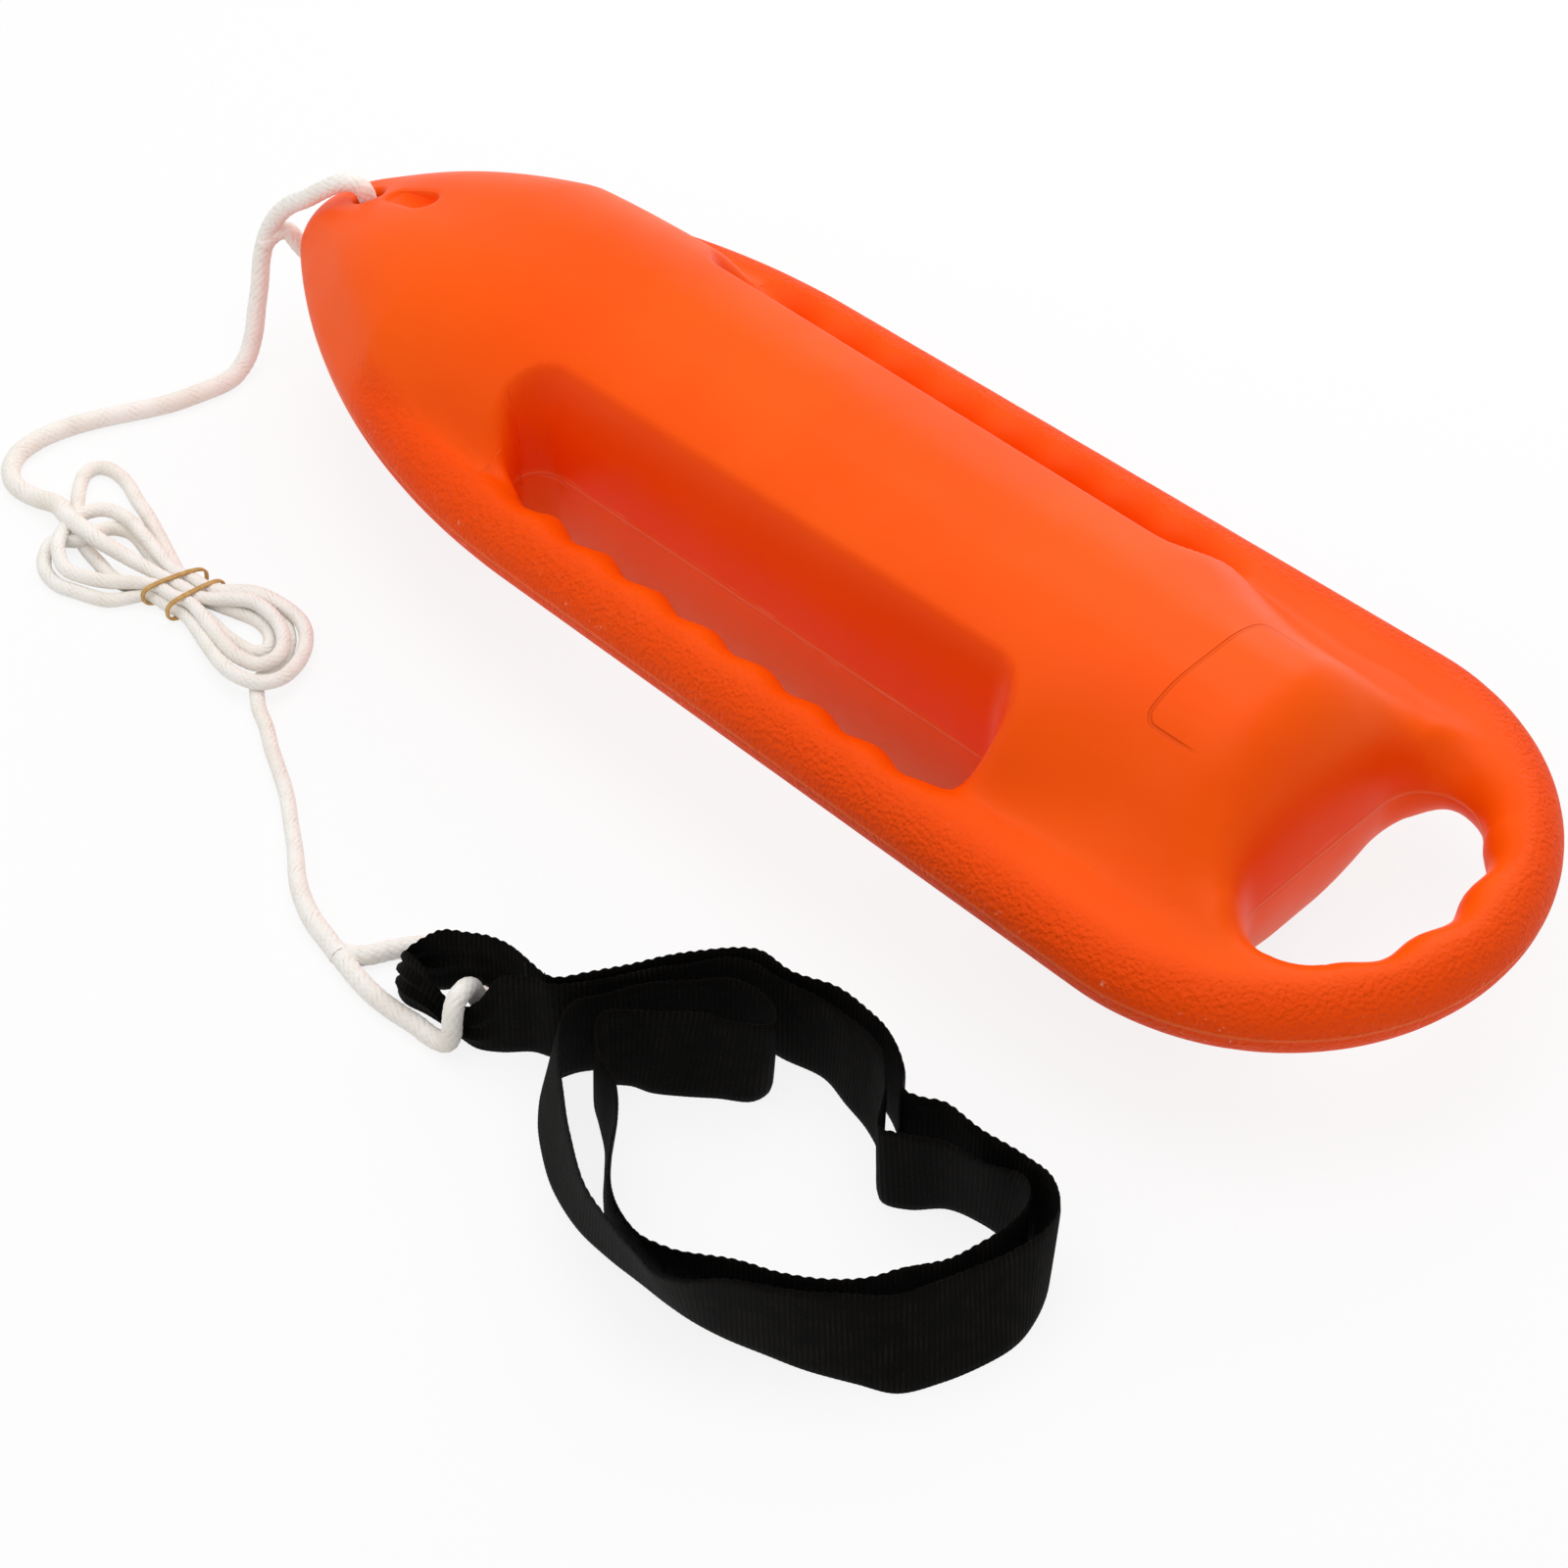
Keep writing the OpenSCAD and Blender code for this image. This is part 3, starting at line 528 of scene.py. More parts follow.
def poly_curve(name: str, lines: Sequence[np.ndarray]) -> bpy.types.Object:
    """Makes a curve object of straight segments.

    Args:
        name: the curve's name.
        lines: for each line, rows of x, y, z and optionally a radius scale, in millimetres.

    Returns:
        The curve's object, in the scene.
    """
    curve = bpy.data.curves.new(name, "CURVE")
    curve.dimensions = "3D"
    for rows in lines:
        spline = curve.splines.new("POLY")
        spline.points.add(len(rows) - 1)
        for point, row in zip(spline.points, rows):
            point.co = (row[0] * MM, row[1] * MM, row[2] * MM, 1)
            point.radius = row[3] if len(row) > 3 else 1.0
    line = bpy.data.objects.new(name + "_line", curve)
    bpy.context.scene.collection.objects.link(line)
    return line


def made_mesh(line: bpy.types.Object) -> bpy.types.Mesh:
    """Turns a curve and its Geometry Nodes into a plain mesh, and removes the curve."""
    bpy.context.view_layer.update()
    graph = bpy.context.evaluated_depsgraph_get()
    mesh = bpy.data.meshes.new_from_object(line.evaluated_get(graph))
    bpy.data.objects.remove(line)
    return mesh


def declare_sockets(
    tree: bpy.types.NodeTree, rows: Sequence[tuple[str, str, float | None]]
) -> dict[str, str]:
    """Gives a Geometry Nodes tree its geometry sockets and its named sizes.

    Args:
        tree: the node tree.
        rows: name, socket type and default of each input after the geometry.

    Returns:
        Input name to the identifier that a modifier sets it by.
    """
    face = tree.interface
    face.new_socket("Geometry", in_out="INPUT", socket_type="NodeSocketGeometry")
    inputs: dict[str, str] = {}
    for name, kind, value in rows:
        socket = face.new_socket(name, in_out="INPUT", socket_type=kind)
        if value is not None:
            socket.default_value = value
        inputs[name] = socket.identifier
    face.new_socket("Geometry", in_out="OUTPUT", socket_type="NodeSocketGeometry")
    return inputs


def smooth_path(points: np.ndarray, spacing: float, closed: bool = False) -> np.ndarray:
    """Runs a smooth curve through points of any width and samples it evenly.

    Args:
        points: one row per point; the first three columns are the place, and any
            further columns are carried along.
        spacing: distance between samples.
        closed: whether the path returns to its start.

    Returns:
        The samples, with all columns.
    """
    points = np.asarray(points, float)
    n = len(points)
    if closed:
        around = points[np.arange(-1, n + 2) % n]
        last = n
    else:
        around = np.vstack([2 * points[0] - points[1], points, 2 * points[-1] - points[-2]])
        last = n - 1
    rows = []
    t = np.linspace(0, 1, 16, endpoint=False)[:, None]
    for i in range(last):
        p, q, r, s = around[i : i + 4]
        square, cube = 2 * p - 5 * q + 4 * r - s, 3 * q - p - 3 * r + s
        rows.append(0.5 * (2 * q + (r - p) * t + square * t**2 + cube * t**3))
    rows.append(around[last + 1 : last + 2])
    dense = np.vstack(rows)
    run = np.concatenate([[0], np.cumsum(np.linalg.norm(np.diff(dense[:, :3], axis=0), axis=1))])
    count = max(2, round(run[-1] / spacing) + 1)
    at = np.linspace(0, run[-1], count)
    return np.stack([np.interp(at, run, dense[:, c]) for c in range(dense.shape[1])], axis=1)


# Float


@dataclass
class MouldedFloat:
    """The blow-moulded float.

    Sizes are in millimetres and come from the part's source. Those from
    belly_wall_round to tail_pull shape the scene's finer skin, and the lanes and
    sides after them set how closely it is laid.
    """

    length: float = 720.0
    width: float = 250.0
    height: float = 140.0
    side_taper: float = 1.2
    ogive_r: float = 370.0
    tip_r: float = 42.0
    torpedo_half_w: float = 90.0
    crown_flat_w: float = 24.0
    nose_fall_x: float = 100.0
    deck_fillet: float = 14.0
    rim_h: float = 38.0
    rail_w: float = 34.0
    groove_depth: float = 4.0
    groove_pitch: float = 34.0
    handle_groove_angle: float = 23.0
    slot_grooves: int = 8
    slot_margin: float = 8.0
    slot_mid_x: float = 8.0
    slot_foot_w: float = 57.0
    slot_corner_r: float = 13.0
    handle_reach: float = 96.0
    handle_corner_r: float = 24.0
    shoulder_round: float = 40.0
    tow_hole_r: float = 7.0
    tow_inset: float = 32.0
    tow_mouth_r: float = 10.0
    tow_mouth_depth: float = 5.0
    pocket_l: float = 34.0
    pocket_r: float = 8.0
    pocket_depth: float = 9.0
    bridge_t: float = 6.0
    nose_fall: float = 3.0
    nose_blunt: float = 0.82
    nose_fullness: float = 0.81
    belly_wall_round: float = 13.0
    crown_wall_round: float = 8.0
    tail_fillet: float = 20.0
    nose_fillet: float = 12.0
    nose_fill: float = 0.97
    tail_bell: float = 0.55
    wall_melt: float = 28.0
    tail_pull: float = 0.2
    rail_lanes: int = 18
    gap_lanes: int = 4
    body_lanes: int = 30
    hole_sides: int = 72

    def __post_init__(self) -> None:
        """Works out the outline's circles and the openings' corners."""
        self.mid = self.height / 2
        self.rim = self.rim_h / 2
        self.tail_r = self.width / 2
        self.tail_x = -self.length / 2 + self.tail_r
        self.tip_x = self.length / 2 - self.tip_r
        lean = math.radians(self.side_taper)
        self.side_n = np.array([math.sin(lean), math.cos(lean)])
        self.side_dir = np.array([math.cos(lean), -math.sin(lean)])
        self.side_start = np.array([self.tail_x, 0]) + self.tail_r * self.side_n
        start = self.side_start - self.ogive_r * self.side_n - np.array([self.tip_x, 0])
        b = float(self.side_dir @ start)
        slide = -b - math.sqrt(b * b - float(start @ start) + (self.ogive_r - self.tip_r) ** 2)
        self.side_end = self.side_start + slide * self.side_dir
        self.ogive_c = self.side_end - self.ogive_r * self.side_n
        self.tip_angle = math.atan2(-self.ogive_c[1], self.tip_x - self.ogive_c[0])
        self.slot_l = self.slot_grooves * self.groove_pitch + 2 * self.slot_margin
        self.slot_back = self.slot_mid_x - self.slot_l / 2
        self.slot_front = self.slot_mid_x + self.slot_l / 2
        self.wall_x = -self.length / 2 + self.handle_reach
        self.grip_r = self.tail_r - self.rail_w
        self.corner_ring = self.grip_r - self.handle_corner_r
        self.corner_x = self.wall_x - self.handle_corner_r
        self.corner_y = math.sqrt(self.corner_ring**2 - (self.corner_x - self.tail_x) ** 2)
        self.corner_angle = math.degrees(math.atan2(self.corner_y, self.corner_x - self.tail_x))
        self.tow_x = self.length / 2 - self.tow_inset
        self.pocket_front_x = self.tow_x - self.tow_hole_r - self.bridge_t - self.pocket_r
        self.pocket_back_x = self.pocket_front_x - self.pocket_l + 2 * self.pocket_r

    @staticmethod
    def mix(a: Number, b: Number, t: Number) -> Number:
        """Value part of the way from a to b."""
        return a + (b - a) * t

    @staticmethod
    def ease(t: Number) -> np.ndarray:
        """Smooth step from 0 to 1."""
        c = np.clip(t, 0, 1)
        return c * c * (3 - 2 * c)

    @staticmethod
    def rise(t: Number) -> np.ndarray:
        """Quarter-ellipse rise from 0 at an edge to 1 at one radius inside it."""
        c = np.clip(t, 0, 1)
        return np.sqrt(1 - (1 - c) ** 2)

    def filleted(self, a: Number, b: Number, k: Number) -> np.ndarray:
        """Larger of two heights, with a fillet of about k where they meet."""
        h = np.clip(0.5 + 0.5 * (a - b) / k, 0, 1)
        return self.mix(b, a, h) + k * h * (1 - h)

    def inset(self, x: Number, y: Number) -> np.ndarray:
        """Distance inward from the outline, for y of 0 or more."""
        along_tail = (x - self.tail_x) * self.side_dir[0] + y * self.side_dir[1]
        tail = (along_tail < 0) & (x < self.side_start[0] + 1)
        along_end = (x - self.side_end[0]) * self.side_dir[0] + (y - self.side_end[1]) * self.side_dir[1]
        side = (self.side_start[0] - x) * self.side_n[0] + (self.side_start[1] - y) * self.side_n[1]
        ogive = self.ogive_r - np.hypot(x - self.ogive_c[0], y - self.ogive_c[1])
        tip = self.tip_r - np.hypot(x - self.tip_x, y)
        ahead = np.where(np.arctan2(y - self.ogive_c[1], x - self.ogive_c[0]) > self.tip_angle, ogive, tip)
        arc = self.tail_r - np.hypot(x - self.tail_x, y)
        return np.where(tail, arc, np.where(along_end < 0, side, ahead))

    def half_width(self, x: Number) -> np.ndarray:
        """Half width of the outline ahead of the tail arc."""
        x = np.asarray(x, float)
        straight = self.side_start[1] - (x - self.side_start[0]) * math.tan(math.radians(self.side_taper))
        ogive = self.ogive_c[1] + np.sqrt(np.maximum(0, self.ogive_r**2 - (x - self.ogive_c[0]) ** 2))
        tip = np.sqrt(np.maximum(0, self.tip_r**2 - (x - self.tip_x) ** 2))
        tip_from = self.tip_x + self.tip_r * math.cos(self.tip_angle)
        return np.where(x < self.side_end[0], straight, np.where(x < tip_from, ogive, tip))

    def side_groove(self, x: Number) -> np.ndarray:
        """Depth of the finger grooves along a side rail."""
        u = (x - self.slot_mid_x) / self.groove_pitch
        n = self.slot_grooves / 2
        wave = 0.5 - 0.5 * np.cos(2 * np.pi * (u + n))
        return self.groove_depth * wave * self.ease((n - np.abs(u)) * 4 + 1)

    def handle_groove(self, a: Number) -> np.ndarray:
        """Depth of the finger grooves round the rear handle, by angle in degrees."""
        u = (180 - a) / self.handle_groove_angle
        return self.groove_depth * (0.5 + 0.5 * np.cos(2 * np.pi * u)) * self.ease((1.5 - u) * 4 + 1)

    def rail_edge(self, x: Number) -> np.ndarray:
        """Distance of a side rail's inner edge from the middle plane."""
        return self.half_width(x) - self.rail_w + self.side_groove(x)

    def from_slot(self, x: Number, y: Number) -> np.ndarray:
        """Signed distance outward from a hand slot."""
        u = np.abs(x - self.slot_mid_x) - self.slot_l / 2 + self.slot_corner_r
        v = np.maximum(self.slot_foot_w - y, y - self.rail_edge(x)) + self.slot_corner_r
        outside = np.hypot(np.maximum(u, 0), np.maximum(v, 0))
        return outside + np.minimum(np.maximum(u, v), 0) - self.slot_corner_r

    def from_handle(self, x: Number, y: Number) -> np.ndarray:
        """Signed distance outward from the rear handle's opening."""
        a = np.degrees(np.arctan2(y, x - self.tail_x))
        past = x - self.corner_x
        ring = np.hypot(x - self.tail_x, y) - self.corner_ring - self.handle_groove(a)
        straight = np.maximum(past, -self.handle_corner_r)
        wall = np.where(y < self.corner_y, straight, np.hypot(past, y - self.corner_y))
        return np.where((a > self.corner_angle) & (past < 0), ring, wall) - self.handle_corner_r

    def torpedo(self, x: Number, y: Number) -> np.ndarray:
        """Height of the torpedo over the parting plane.

        Args:
            x: position along the float.
            y: distance from the middle plane, 0 or more.

        Returns:
            The height, without the rim.
        """
        fall = np.clip((x - self.nose_fall_x) / (self.length / 2 - self.nose_fall_x), 0, 1)
        h = self.mid * (1 - fall**self.nose_fall) ** self.nose_blunt
        pull = self.tail_pull * self.ease((self.slot_back - 50 - x) / 80)
        belled = self.ease((self.slot_back - 4 - x) / 70)
        full = self.mix(self.nose_fullness, self.nose_fill, self.ease((x - self.slot_front + 10) / 70))
        wide = np.minimum(self.torpedo_half_w, full * self.half_width(np.maximum(x, self.side_start[0])))
        wide = wide * (1 - pull * (1 - belled))
        flat = np.minimum(self.crown_flat_w, wide) / 2
        t = np.clip((y - flat) / (wide - flat + 0.01), 0, 1)
        melt = self.ease((x - self.wall_x + self.wall_melt) / self.wall_melt)
        return melt * h * (1 - t * t) ** (0.5 + self.tail_bell * belled)

    def pocket(self, x: Number, y: Number) -> np.ndarray:
        """Depth of the tow hole's rounded mouth and of the pocket behind it.

        Args:
            x: position along the float.
            y: distance from the middle plane, 0 or more.

        Returns:
            The depth below the skin.
        """
        reach = np.hypot(x - self.tow_x, y)
        lip_share = (reach - self.tow_hole_r) / (self.tow_mouth_r - self.tow_hole_r)
        mouth = self.tow_mouth_depth * (1 - self.rise(lip_share))
        back = np.clip((self.pocket_front_x - x) / (self.pocket_front_x - self.pocket_back_x), 0, 1)
        centre = self.pocket_front_x - back * (self.pocket_front_x - self.pocket_back_x)
        r = self.mix(0.75, 1.0, back) * self.pocket_r
        off = np.hypot(x - centre, y) / r
        round_off = np.sqrt(np.maximum(0, 1 - np.minimum(off, 1) ** 2.4))
        bowl = self.mix(0.25, 1.0, back) * self.pocket_depth * round_off
        lip = 0.6 * np.exp(-((np.maximum(off, 1) - 1) * r / 1.6) ** 2)
        return np.maximum(mouth, np.maximum(bowl, 0) + lip * np.where(off > 0.9, 1, 0.6))

    def skin(self, x: Number, y: Number, belly: bool = False) -> np.ndarray:
        """Distance of the skin from the parting plane.

        Args:
            x: position along the float.
            y: distance from the middle plane, 0 or more.
            belly: whether it is the lower skin, whose slot lips are rounder.

        Returns:
            The distance, 0 or more.
        """
        wall = self.belly_wall_round if belly else self.crown_wall_round
        slot_round = self.mix(wall, self.rail_w / 2, np.clip((y - self.slot_foot_w) / 30, 0, 1))
        reach = np.hypot(x - self.tail_x, y)
        handle_round = self.mix(self.shoulder_round, self.rail_w / 2,
                                np.clip((reach - self.corner_ring) / self.handle_corner_r, 0, 1))
        behind = self.ease((self.slot_back - 6 - x) / 60)
        ahead = self.ease((x - self.slot_front + 4) / 60)
        fillet = self.mix(self.mix(self.deck_fillet, self.tail_fillet, behind), self.nose_fillet, ahead)
        deck = self.filleted(self.rim, self.torpedo(x, y), fillet)
        return (deck * self.rise(self.inset(x, y) / self.rim) * self.rise(self.from_slot(x, y) / slot_round)
                * self.rise(self.from_handle(x, y) / handle_round))

    def grip_edge(self, a: float) -> float:
        """Radius of the rear handle's inner edge at an angle."""
        if a > self.corner_angle:
            return self.grip_r + float(self.handle_groove(a))
        s = self.corner_ring * math.sin(math.radians(self.corner_angle - a))
        half = math.sqrt(max(0, self.handle_corner_r**2 - s * s))
        ring = self.corner_ring * math.cos(math.radians(self.corner_angle - a))
        return ring + half + float(self.handle_groove(a))

    def wall_edge(self, a: float) -> float:
        """Radius of the torpedo's rear wall at an angle."""
        wall = (self.wall_x - self.tail_x) / math.cos(math.radians(a))
        if wall * math.sin(math.radians(a)) < self.corner_y:
            return wall
        s = self.corner_ring * math.sin(math.radians(self.corner_angle - a))
        half = math.sqrt(max(0, self.handle_corner_r**2 - s * s))
        return self.corner_ring * math.cos(math.radians(self.corner_angle - a)) - half

    def between(
        self, near: tuple[float, float], far: tuple[float, float], share: float
    ) -> tuple[float, float]:
        """Plan point part of the way from one to another."""
        return (self.mix(near[0], far[0], share), self.mix(near[1], far[1], share))

    def spokes(self) -> tuple[np.ndarray, np.ndarray]:
        """Lays spokes from the outline to the spine, round half of the float.

        Returns:
            Four plan points for each spoke, and whether it crosses an opening.
        """
        rows: list[list[tuple[float, float]]] = []
        is_open: list[bool] = []
        pinch = self.corner_angle - math.degrees(math.asin(self.handle_corner_r / self.corner_ring)) * 0.998
        spine_tail, spine_side = self.wall_x + 12, self.side_start[0] + 30

        def polar(c: tuple[float, float], r: float, a: float) -> tuple[float, float]:
            """Plan point at a radius and an angle in degrees round a centre."""
            return (c[0] + r * math.cos(math.radians(a)), c[1] + r * math.sin(math.radians(a)))

        def spine_at(a: float) -> tuple[float, float]:
            """Spine point that a spoke of the tail runs to."""
            return (self.mix(spine_tail, spine_side, (180 - a) / (90 + self.side_taper)), 0.0)

        def push(points: list[tuple[float, float]], crosses: bool) -> None:
            """Adds one spoke."""
            rows.append(points)
            is_open.append(crosses)

        tail = (self.tail_x, 0.0)
        round_handle = np.linspace(180, self.corner_angle, 48, endpoint=False)
        crowded = np.sin(np.radians(np.linspace(0, 90, 17)))
        for a in [*round_handle, *(self.corner_angle + (pinch - self.corner_angle) * crowded)]:
            push([polar(tail, self.tail_r, a), polar(tail, self.grip_edge(a), a),
                  polar(tail, self.wall_edge(a), a), spine_at(a)], True)
        for a in pinch + (90 - self.side_taper - pinch) * np.linspace(0, 1, 30)[1:-1] ** 1.7:
            t = float(self.ease((pinch - a) / (pinch - 90 + self.side_taper)))
            outer = self.mix(self.grip_edge(pinch), self.grip_r, t)
            inner = self.mix(self.wall_edge(pinch), self.slot_foot_w, t)
            push([polar(tail, self.tail_r, a), polar(tail, outer, a), polar(tail, inner, a),
                  spine_at(a)], False)
        for t in 1 - (1 - np.linspace(0, 1, 30, endpoint=False)) ** 1.8:
            x, e = self.mix(self.side_start[0], self.slot_back, t), float(self.ease(t))
            w = float(self.half_width(x))
            corner = self.slot_corner_r * e
            push([(x, w), (x, w - self.rail_w - corner), (x, self.slot_foot_w + corner),
                  (self.mix(spine_side, self.slot_back, t), 0)], False)
        end_l = 1.6 * self.slot_margin
        ends = self.slot_margin * 1.6 * (1 - np.cos(np.radians(np.linspace(0, 90, 10, endpoint=False))))
        inner = np.linspace(self.slot_back + end_l, self.slot_front - end_l, 119)
        for x in [*(self.slot_back + ends), *inner, *(self.slot_front - ends[::-1])]:
            c = max(0.0, self.slot_corner_r - (self.slot_l / 2 - abs(x - self.slot_mid_x)))
            bite = self.slot_corner_r - math.sqrt(self.slot_corner_r**2 - c * c)
            push([(x, float(self.half_width(x))), (x, float(self.rail_edge(x)) - bite),
                  (x, self.slot_foot_w + bite), (x, 0)], True)
        first = math.acos((self.slot_front - self.ogive_c[0]) / self.ogive_r)
        edge = [(self.ogive_c[0] + self.ogive_r * math.cos(a), self.ogive_c[1] + self.ogive_r * math.sin(a))
                for a in first + (self.tip_angle - first) * np.linspace(0, 1, 64)[1:] ** 1.6]
        edge += [(self.tip_x + self.tip_r * math.cos(a), self.tip_r * math.sin(a))
                 for a in np.linspace(self.tip_angle, 0, 22)[1:]]
        end_w = float(self.half_width(self.slot_front))
        end_rail = (self.rail_w + self.slot_corner_r) / end_w
        end_foot = 1 - (self.slot_foot_w + self.slot_corner_r) / end_w
        for x, y in edge:
            t = (x - self.slot_front) / (self.length / 2 - self.slot_front)
            spine = (self.mix(self.slot_front, self.tow_x + 4, t), 0.0)
            near = float(self.ease(t / 0.22))
            rail_share = self.mix(end_rail, self.mix(0.42, 0.3, t), near)
            foot_share = self.mix(end_foot, self.mix(0.55, 0.5, t), near)
            push([(x, y), self.between((x, y), spine, rail_share), self.between((x, y), spine, foot_share),
                  spine], False)
        return np.array(rows), np.array(is_open)

    def surface(self) -> tuple[np.ndarray, list[list[int]]]:
        """Lays both skins over the spokes.

        Returns:
            Points in millimetres, and faces.
        """
        half, half_open = self.spokes()
        rail, gap, body = self.rail_lanes, self.gap_lanes, self.body_lanes
        lanes = rail + gap + body
        n = len(half) - 1
        order = [i if i <= n else 2 * n - i for i in range(2 * n)]
        side = np.array([1 if i <= n else -1 for i in range(2 * n)])[:, None]
        s, crosses = half[order], half_open[order]
        k = np.arange(lanes + 1)
        t_body = np.clip((k - rail - gap) / body, 0, 1)
        t_rail = 0.5 - 0.5 * np.cos(np.pi * np.clip(k / rail, 0, 1))
        first = self.mix(s[:, None, 0], s[:, None, 1], t_rail[None, :, None])
        middle = self.mix(s[:, None, 1], s[:, None, 2], np.clip((k - rail) / gap, 0, 1)[None, :, None])
        last = self.mix(s[:, None, 2], s[:, None, 3], (t_body**2.3 * (1.5 - 0.5 * t_body))[None, :, None])
        inward = np.where((k <= rail + gap)[None, :, None], middle, last)
        plan = np.where((k <= rail)[None, :, None], first, inward)
        in_gap = (k >= rail) & (k <= rail + gap)
        edge = (k == 0)[None, :] | (in_gap[None, :] & crosses[:, None])
        x, y = plan[..., 0], plan[..., 1]
        height = np.where(edge, 0, self.skin(x, y))
        depth = np.where(edge, 0, self.skin(x, y, belly=True))
        top = np.stack([x, side * y, self.mid + height], -1).reshape(-1, 3)
        belly = np.stack([x, side * y, self.mid - depth], -1).reshape(-1, 3)
        count, wide = 2 * n, lanes + 1
        faces = []
        for i in range(count):
            j = (i + 1) % count
            for c in range(lanes):
                if rail <= c < rail + gap and crosses[i] and crosses[j]:
                    continue
                quad = [i * wide + c, i * wide + c + 1, j * wide + c + 1, j * wide + c]
                faces.append(quad)
                faces.append([v + count * wide for v in reversed(quad)])
        return np.vstack([top, belly]), faces

    def sink_pockets(self, mesh: bpy.types.Mesh) -> None:
        """Refines the nose and sinks the tow hole's mouths and pockets into it.

        Args:
            mesh: the float's mesh, in metres.
        """
        bm = bmesh.new()
        bm.from_mesh(mesh)
        for box in ((266, 346, 17), (272, 342, 13)):
            near = [f for f in bm.faces
                    if all(box[0] < v.co.x / MM < box[1] and abs(v.co.y) / MM < box[2] for v in f.verts)]
            edges = list({e for f in near for e in f.edges})
            bmesh.ops.subdivide_edges(bm, edges=edges, cuts=1, use_grid_fill=True)
        nose = [v for v in bm.verts if v.co.x / MM > 262 and abs(v.co.y) / MM < 22]
        x = np.array([v.co.x for v in nose]) / MM
        y = np.abs(np.array([v.co.y for v in nose])) / MM
        h = self.skin(x, y) - self.pocket(x, y)
        for v, height in zip(nose, h):
            v.co.z = (self.mid + (height if v.co.z / MM > self.mid else -height)) * MM
        bm.to_mesh(mesh)
        bm.free()

    def drill(self, thing: bpy.types.Object) -> None:
        """Cuts the tow hole through the nose.

        Args:
            thing: the float's object.
        """
        turn = np.linspace(0, 2 * np.pi, self.hole_sides, endpoint=False)
        ring = np.stack([self.tow_x + self.tow_hole_r * np.cos(turn), self.tow_hole_r * np.sin(turn)], -1)
        points = [(px, py, z) for z in (-10, self.height + 10) for px, py in ring]
        n = len(ring)
        faces = [[i, (i + 1) % n, n + (i + 1) % n, n + i] for i in range(n)]
        faces += [list(range(n - 1, -1, -1)), list(range(n, 2 * n))]
        cutter = bpy.data.objects.new("tow_hole_cutter", mesh_of("tow_hole_cutter", np.array(points), faces))
        bpy.context.scene.collection.objects.link(cutter)
        cut = thing.modifiers.new("tow_hole", "BOOLEAN")
        cut.operation, cut.solver, cut.object = "DIFFERENCE", "EXACT", cutter
        apply_modifiers(thing)
        bpy.data.objects.remove(cutter)

    def mark(self, mesh: bpy.types.Mesh) -> None:
        """Marks the grained rim behind the nose, and the walls of the openings.

        Args:
            mesh: the float's mesh, which gets the numbers grain and hollow.
        """
        co = np.empty(len(mesh.vertices) * 3)
        mesh.vertices.foreach_get("co", co)
        x, y, z = (co.reshape(-1, 3) / MM).T
        inset = self.inset(x, np.abs(y))
        rim = 1 - self.ease((inset - 8) / 16)
        low = 1 - self.ease((np.abs(z - self.mid) - self.rim - 4) / 8)
        behind = self.ease((262 - x) / 40)
        values = np.clip(rim * low * behind, 0, 1)
        layer = mesh.attributes.get("grain") or mesh.attributes.new("grain", "FLOAT", "POINT")
        layer.data.foreach_set("value", values.astype(np.float32))
        far = 99
        slot = np.where(np.abs(y) < self.slot_foot_w + 16, self.from_slot(x, np.abs(y)), far)
        handle = np.where(np.abs(y) < self.corner_y + 20, self.from_handle(x, np.abs(y)), far)
        close = 1 - self.ease((np.minimum(slot, handle) - 2) / 9)
        wall = close * self.ease((z - self.mid + 4) / 8) * (np.abs(z - self.mid) < self.mid - 5)
        wall = wall * self.ease((x - self.wall_x + 40) / 60)
        layer = mesh.attributes.get("hollow") or mesh.attributes.new("hollow", "FLOAT", "POINT")
        layer.data.foreach_set("value", wall.astype(np.float32))

    def build(self) -> bpy.types.Object:
        """Builds the float, in place of its solid."""
        points, faces = self.surface()
        mesh = mesh_of("float_shell", points, faces)
        outward(mesh, 0.02 * MM)
        self.sink_pockets(mesh)
        material = MouldedPolyethylene("Orange moulded polyethylene").build()
        shell = new_object("float_shell", mesh, material)
        self.drill(shell)
        self.mark(shell.data)
        shell.data.shade_smooth()
        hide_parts("float_body")
        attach(shell, Body.FLOAT.value)
        return shell


# Rope


